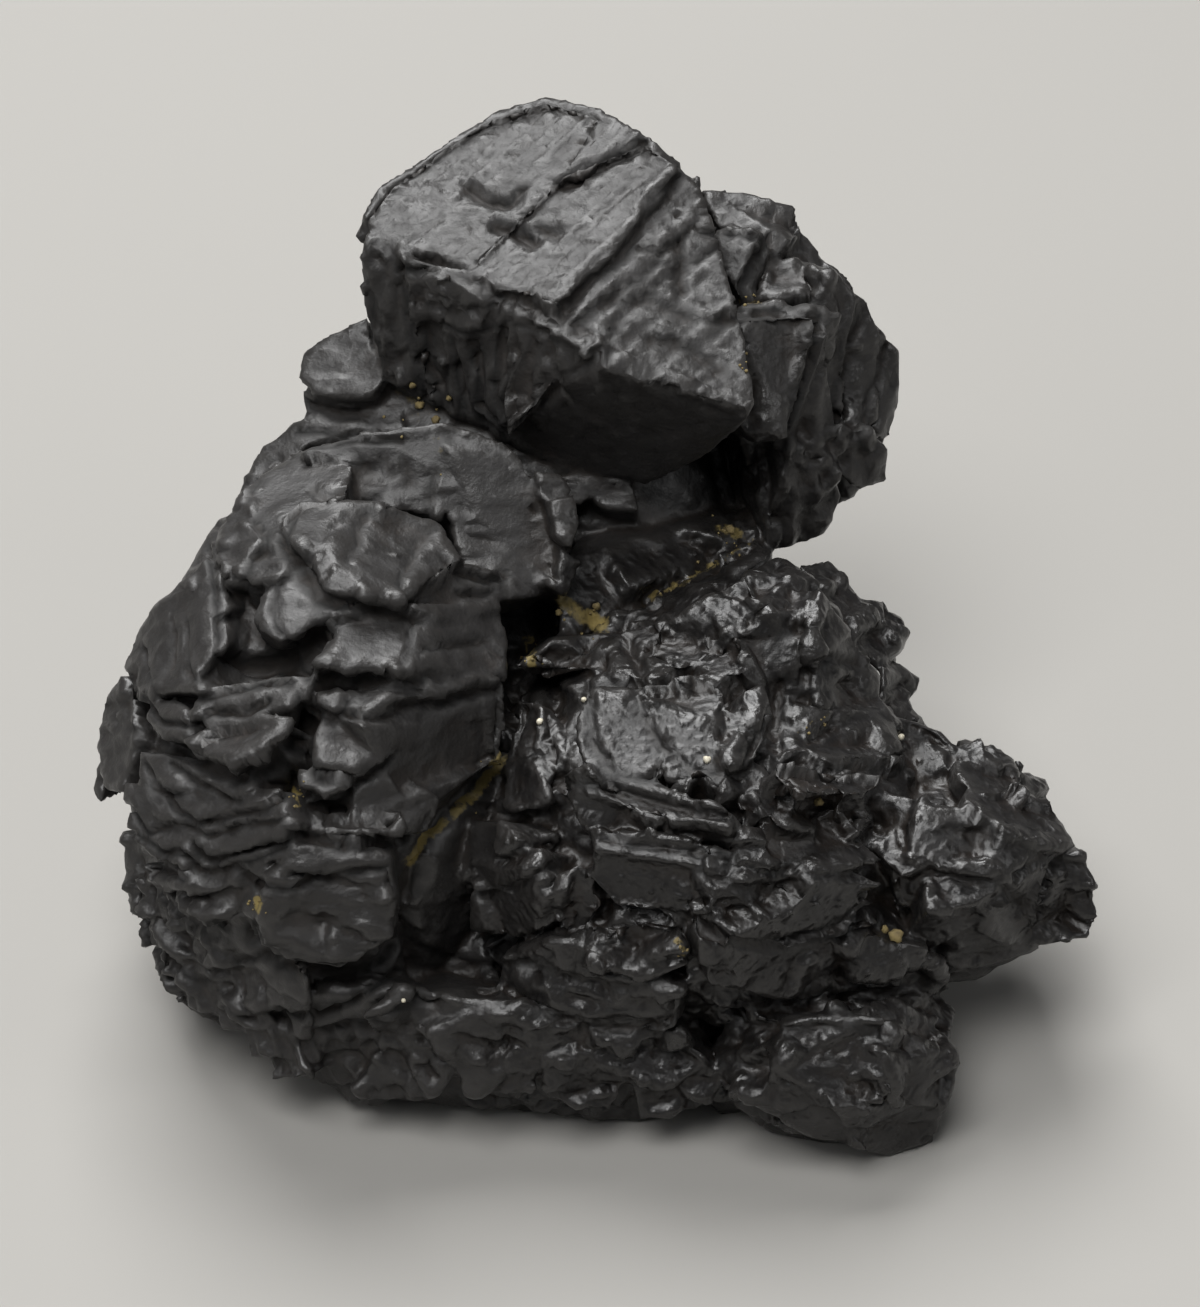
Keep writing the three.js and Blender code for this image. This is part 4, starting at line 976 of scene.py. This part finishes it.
# %% [markdown]
# ## Finish: wind-polished hematite and goethite
# Both are iron oxides, near black in colour, and what the eye sees is mostly the grey sheen that light
# draws on them. Their pure crystals refract at about 2.3 for goethite and 3 for hematite, but sand-blown
# stone is rougher and duller than a crystal, so the value was matched to the object and came out at 1.5. The
# wind has polished the wrinkled crust more than the plates, so roughness follows the gloss number.

# %% Colour


def linear(hex_colour):
    """sRGB hex to linear red, green, blue and full cover: the sRGB curve undone for each channel."""
    channels = [int(hex_colour[i:i + 2], 16) / 255 for i in (1, 3, 5)]
    return [c / 12.92 if c <= 0.04045 else ((c + 0.055) / 1.055) ** 2.4 for c in channels] + [1.0]


print("black oxide in linear light:", np.round(linear("#161413")[:3], 4))

# %% [markdown]
# ## Nodes
# A material is a tree of nodes. One function adds a node, sets its choices and fills its sockets, and a
# second starts a tree that has nothing in it yet. Patterns read the place on the stone in millimetres, so
# that a noise scale of 2 means a pattern of half a millimetre.

# %% Node helpers


def add(tree, kind, inputs=None, **settings):
    """Adds a node, sets its properties, and fills its sockets with values or links."""
    made = tree.nodes.new(kind)
    for name, value in settings.items():
        setattr(made, name, value)
    for socket, value in (inputs or {}).items():
        if isinstance(value, bpy.types.NodeSocket):
            tree.links.new(value, made.inputs[socket])
        else:
            made.inputs[socket].default_value = value
    return made


def fresh_material(name):
    """A material with nothing in its node tree yet, and that tree."""
    material = bpy.data.materials.new(name)
    material.use_nodes = True
    material.node_tree.nodes.clear()
    return material, material.node_tree


# %% [markdown]
# ## The oxide, from the crystal up to the dust
# Colour is laid in layers: two tones of oxide that drift over about 4.5 mm, painted shade that darkens the
# riser under each ledge and each crack, a painted highlight that makes rims paler, brown dust in specks of
# 0.4 mm that settles in crevices, and ochre clay whose ragged edge follows grit of 0.6 mm. Roughness varies
# in smears about 1 mm long, as polish does. Three small bumps finish it: grain of 0.25 mm, lumps of 0.6 mm,
# and on glossy crust wrinkles of 0.8 mm. The grain is drawn coarser than the real one, which is too fine to
# show.

# %% Iron oxide, wind-polished


def iron_oxide():
    """Near-black oxide with a grey sheen: the eye sees satin plates, glossy folds and dusty crevices. In a
    colour Mix node socket 0 is the share, 6 and 7 are the two colours, and output 2 is what comes out."""
    material, tree = fresh_material("iron_oxide_wind_polished")
    place = add(tree, "ShaderNodeTexCoord").outputs["Object"]
    in_mm = add(tree, "ShaderNodeMapping", {"Vector": place, "Scale": (1000, 1000, 1000)}).outputs[0]
    gloss, crevice, clay, step, rim_polish_and_painted_highlight = (
        add(tree, "ShaderNodeAttribute", attribute_name=name).outputs["Fac"] for name in KEPT_NUMBERS)

    patches = add(tree, "ShaderNodeTexNoise", {"Vector": in_mm, "Scale": 0.22, "Detail": 4.0})
    crust = add(tree, "ShaderNodeMix", {
        0: patches.outputs["Fac"], 6: linear("#0e0d0d"), 7: linear("#161413")}, data_type="RGBA")
    plate = add(tree, "ShaderNodeMix", {
        0: patches.outputs["Fac"], 6: linear("#1e1d1c"), 7: linear("#272524")}, data_type="RGBA")
    smooth = add(tree, "ShaderNodeMix", {
        0: gloss, 6: plate.outputs[2], 7: crust.outputs[2]}, data_type="RGBA")
    # Painted shade: the riser under each ledge and each crack is darkened to near black.
    body = add(tree, "ShaderNodeMix", {
        0: step, 6: smooth.outputs[2], 7: linear("#0b0a09")}, data_type="RGBA")
    specks = add(tree, "ShaderNodeTexNoise", {"Vector": in_mm, "Scale": 2.6, "Detail": 3.0})
    dusty = add(tree, "ShaderNodeMath", {0: specks.outputs["Fac"], 1: crevice}, operation="MULTIPLY")
    dust = add(tree, "ShaderNodeMath", {0: dusty.outputs[0], 1: 0.35}, operation="MULTIPLY")
    # Painted highlight: rims are made paler, a quarter of the way to a light grey.
    rim_highlight_share = add(tree, "ShaderNodeMath", {0: rim_polish_and_painted_highlight, 1: 0.25}, operation="MULTIPLY")
    with_rim_highlight = add(tree, "ShaderNodeMix", {0: rim_highlight_share.outputs[0], 6: body.outputs[2], 7: linear("#3b3937")},
                data_type="RGBA")
    dusted = add(tree, "ShaderNodeMix", {0: dust.outputs[0], 6: with_rim_highlight.outputs[2], 7: linear("#33281e")},
               data_type="RGBA")
    grit = add(tree, "ShaderNodeTexNoise", {"Vector": in_mm, "Scale": 1.7, "Detail": 6.0, "Roughness": 0.7})
    patchy = add(tree, "ShaderNodeMath", {0: grit.outputs["Fac"], 1: clay}, operation="ADD")
    edge = add(tree, "ShaderNodeMapRange", {0: patchy.outputs[0], 1: 1.10, 2: 1.28})
    covered = add(tree, "ShaderNodeMath", {0: edge.outputs[0], 1: clay}, operation="MULTIPLY")
    colour = add(tree, "ShaderNodeMix", {0: covered.outputs[0], 6: dusted.outputs[2], 7: linear("#7a6b3c")},
                 data_type="RGBA")

    sheen = add(tree, "ShaderNodeMapRange", {0: gloss, 3: 0.50, 4: 0.39})
    smear = add(tree, "ShaderNodeTexNoise", {"Vector": in_mm, "Scale": 0.9, "Detail": 5.0})
    varied = add(tree, "ShaderNodeMapRange", {0: smear.outputs["Fac"], 1: 0.3, 2: 0.7, 3: -0.06, 4: 0.08})
    polished = add(tree, "ShaderNodeMath", {0: rim_polish_and_painted_highlight, 1: -0.10}, operation="MULTIPLY")
    uneven = add(tree, "ShaderNodeMath", {0: varied.outputs[0], 1: polished.outputs[0]}, operation="ADD")
    rough = add(tree, "ShaderNodeMath", {0: sheen.outputs[0], 1: uneven.outputs[0]}, operation="ADD")
    unpolished = add(tree, "ShaderNodeMath", {0: covered.outputs[0], 1: step}, operation="ADD")
    matt = add(tree, "ShaderNodeMath", {0: unpolished.outputs[0], 1: 0.45}, operation="MULTIPLY")
    all_rough = add(tree, "ShaderNodeMath", {0: rough.outputs[0], 1: matt.outputs[0]}, operation="ADD")

    grain = add(tree, "ShaderNodeTexNoise", {"Vector": in_mm, "Scale": 4.0, "Detail": 4.0, "Roughness": 0.55})
    fine = add(tree, "ShaderNodeBump", {
        "Strength": 0.55, "Distance": 0.00006, "Height": grain.outputs["Fac"]})
    lumps = add(tree, "ShaderNodeTexNoise", {"Vector": in_mm, "Scale": 1.6, "Detail": 3.0})
    bumps = add(tree, "ShaderNodeBump", {
        "Strength": 0.45, "Distance": 0.00010, "Height": lumps.outputs["Fac"], "Normal": fine.outputs[0]})
    wrinkle = add(tree, "ShaderNodeTexNoise", {
        "Vector": in_mm, "Scale": 1.3, "Detail": 4.0, "Roughness": 0.65, "Gain": 1.2},
        noise_type="RIDGED_MULTIFRACTAL")
    on_crust = add(tree, "ShaderNodeMath", {0: wrinkle.outputs["Fac"], 1: gloss}, operation="MULTIPLY")
    wrinkled = add(tree, "ShaderNodeBump", {
        "Strength": 1.0, "Distance": 0.00026, "Height": on_crust.outputs[0], "Normal": bumps.outputs[0]})
    shader = add(tree, "ShaderNodeBsdfPrincipled", {
        "Base Color": colour.outputs[2], "Roughness": all_rough.outputs[0], "Normal": wrinkled.outputs[0],
        "IOR": 1.5})
    add(tree, "ShaderNodeOutputMaterial", {"Surface": shader.outputs[0]})
    return material


skin.data.materials.clear()
skin.data.materials.append(iron_oxide())
print("finish:", skin.data.materials[0].name)

# %% [markdown]
# ## Sand grains that the desert left
# A few grains of quartz and crumbs of clay still sit in the hollows, pressed a third of their size into
# the skin. Each is a small closed pebble with its corners moved at random. Its seat is found by looking from
# the eye through its place on the grid. The lists give that place and a radius in millimetres, and the
# finest crumbs are strewn along the clay. Both grains are matt and mixed from two tones.

# %% Sand grains
GRAINS = [((540, 722), 0.22), ((707, 760), 0.24), ((900, 736), 0.22), ((584, 700), 0.16), ((404, 1000), 0.14)]
CRUMBS = [((818, 800), 0.30), ((895, 937), 0.46), ((884, 930), 0.26), ((420, 404), 0.30), ((436, 420), 0.26),
          ((412, 384), 0.24), ((450, 398), 0.20), ((596, 606), 0.26), ((730, 530), 0.30), ((560, 612), 0.24)]
DUST_COUNT = 70
DUST_SIZES = (0.05, 0.12)
PROUD = 0.3
GRAIN_SEED, CRUMB_SEED, DUST_SEED = 800, 900, 700


def pebble(spot, radius, seed):
    """Corners and faces of a ball of 42 corners round the place that the eye meets at a grid spot: each
    corner's distance is the radius times 0.7 to 1.2."""
    eye = MIDDLE - AWAY * SIGHT_DISTANCE
    aim = from_grid(*spot, 0.0) - eye
    place, normal, _, _ = tree.ray_cast(Vector(eye), Vector(aim / np.linalg.norm(aim)))
    ball = bmesh.new()
    bmesh.ops.create_icosphere(ball, subdivisions=2, radius=1.0)
    shape = np.array([vertex.co for vertex in ball.verts])
    faces = [[vertex.index for vertex in face.verts] for face in ball.faces]
    ball.free()
    draws = random_at(np.arange(len(shape)), np.zeros(len(shape)), np.zeros(len(shape)), seed)
    centre = np.array(place) + PROUD * radius * np.array(normal)
    return centre + shape * (radius * (0.7 + 0.5 * draws))[:, None], faces


def pebbles(name, spots, seed):
    """All the pebbles of a list as one piece."""
    points, faces = [], []
    for number, (spot, radius) in enumerate(spots):
        more, rings = pebble(spot, radius, seed + number)
        faces += [[len(points) + corner for corner in ring] for ring in rings]
        points += more.tolist()
    return piece_from(new_mesh(name, points, faces), name)


def powder():
    """Spots strewn along the clay lines, within their reach, with small sizes."""
    spots = []
    for number in range(DUST_COUNT):
        where, right, up, size = (
            float(random_at(*np.full((3, 1), number), DUST_SEED + n)[0]) for n in range(4))
        line, reach, _ = CLAY_SPOTS[number % len(CLAY_SPOTS)]
        (x0, y0), (x1, y1) = line[0], line[-1]
        spot = (x0 + where * (x1 - x0) + reach * (2 * right - 1),
                y0 + where * (y1 - y0) + reach * (2 * up - 1))
        spots.append((spot, DUST_SIZES[0] + size * (DUST_SIZES[1] - DUST_SIZES[0])))
    return spots


# %% What grains are made of


def mineral_grain(name, light, dark, rough):
    """A matt grain of two tones, mixed in spots about 0.4 mm across, so that no two grains are alike."""
    material, tree = fresh_material(name)
    place = add(tree, "ShaderNodeTexCoord").outputs["Object"]
    spots = add(tree, "ShaderNodeTexNoise", {"Vector": place, "Scale": 2500.0})
    colour = add(tree, "ShaderNodeMix", {0: spots.outputs["Fac"], 6: linear(dark), 7: linear(light)},
                 data_type="RGBA")
    shader = add(tree, "ShaderNodeBsdfPrincipled", {"Base Color": colour.outputs[2], "Roughness": rough})
    add(tree, "ShaderNodeOutputMaterial", {"Surface": shader.outputs[0]})
    return material


quartz = pebbles("quartz_grains", GRAINS, GRAIN_SEED)
quartz.data.materials.append(mineral_grain("quartz_sand_blown_round", "#d9d4c4", "#b3a98f", 0.45))
crumbs = pebbles("clay_crumbs", CRUMBS + powder(), CRUMB_SEED)
crumbs.data.materials.append(mineral_grain("ochre_clay_dried", "#8a7a4c", "#4f4432", 0.85))
print("grains:", len(GRAINS), "crumbs:", len(CRUMBS) + DUST_COUNT)

# %% [markdown]
# ## The table and the light
# The stone stands on a pale sheet of matt paper. A big soft light overhead and behind draws the grey sheen
# on faces that look up, and a second one above the eye lights those that look forwards. Two weak ones in
# front, left and right, keep the folds readable, and the room adds a faint even glow.

# %% Table
HALF_TABLE = 3.0


def plain_paper():
    """Matt off-white studio paper, whose mottle is so faint that the eye takes it for one tone."""
    material, tree = fresh_material("studio_paper_matt")
    mottle = add(tree, "ShaderNodeTexNoise", {"Scale": 40.0})
    colour = add(tree, "ShaderNodeMix", {
        0: mottle.outputs["Fac"], 6: linear("#8f8d89"), 7: linear("#969490")}, data_type="RGBA")
    shader = add(tree, "ShaderNodeBsdfPrincipled", {"Base Color": colour.outputs[2], "Roughness": 0.85})
    add(tree, "ShaderNodeOutputMaterial", {"Surface": shader.outputs[0]})
    return material


table_corners = [(-HALF_TABLE, -HALF_TABLE, 0), (HALF_TABLE, -HALF_TABLE, 0),
                 (HALF_TABLE, HALF_TABLE, 0), (-HALF_TABLE, HALF_TABLE, 0)]
floor = bpy.data.objects.new("table", new_mesh("table", table_corners, [(0, 1, 2, 3)]))
bpy.context.scene.collection.objects.link(floor)
floor.data.materials.append(plain_paper())
print("table", floor.dimensions[0], "m wide")

# %% Lights
LIGHTS = [
    ("overhead", (-0.12, 0.38, 0.70), 0.48, 9.0),
    ("above_eye", (-0.15, -0.30, 0.80), 0.45, 6.0),
    ("front_left", (-0.50, -0.35, 0.45), 0.30, 0.6),
    ("front_right", (0.50, -0.20, 0.35), 0.20, 0.4),
]
ROOM_GLOW = 0.16


def soft_light(name, spot, size, watts):
    """A square light at a spot, in metres, aimed at the middle of the stone."""
    light = bpy.data.lights.new(name, "AREA")
    light.size = size
    light.energy = watts
    made = bpy.data.objects.new(name, light)
    bpy.context.scene.collection.objects.link(made)
    made.location = spot
    made.rotation_euler = (Vector(MIDDLE * MM) - Vector(spot)).to_track_quat("-Z", "Y").to_euler()
    return made


for name, spot, size, watts in LIGHTS:
    soft_light(name, spot, size, watts)
world = bpy.data.worlds.new("room")
bpy.context.scene.world = world
world.use_nodes = True
world.node_tree.nodes["Background"].inputs[0].default_value = linear("#cfd2d6")
world.node_tree.nodes["Background"].inputs[1].default_value = ROOM_GLOW
bpy.context.scene.view_settings.view_transform = "Standard"
print("lights:", len(bpy.data.lights))
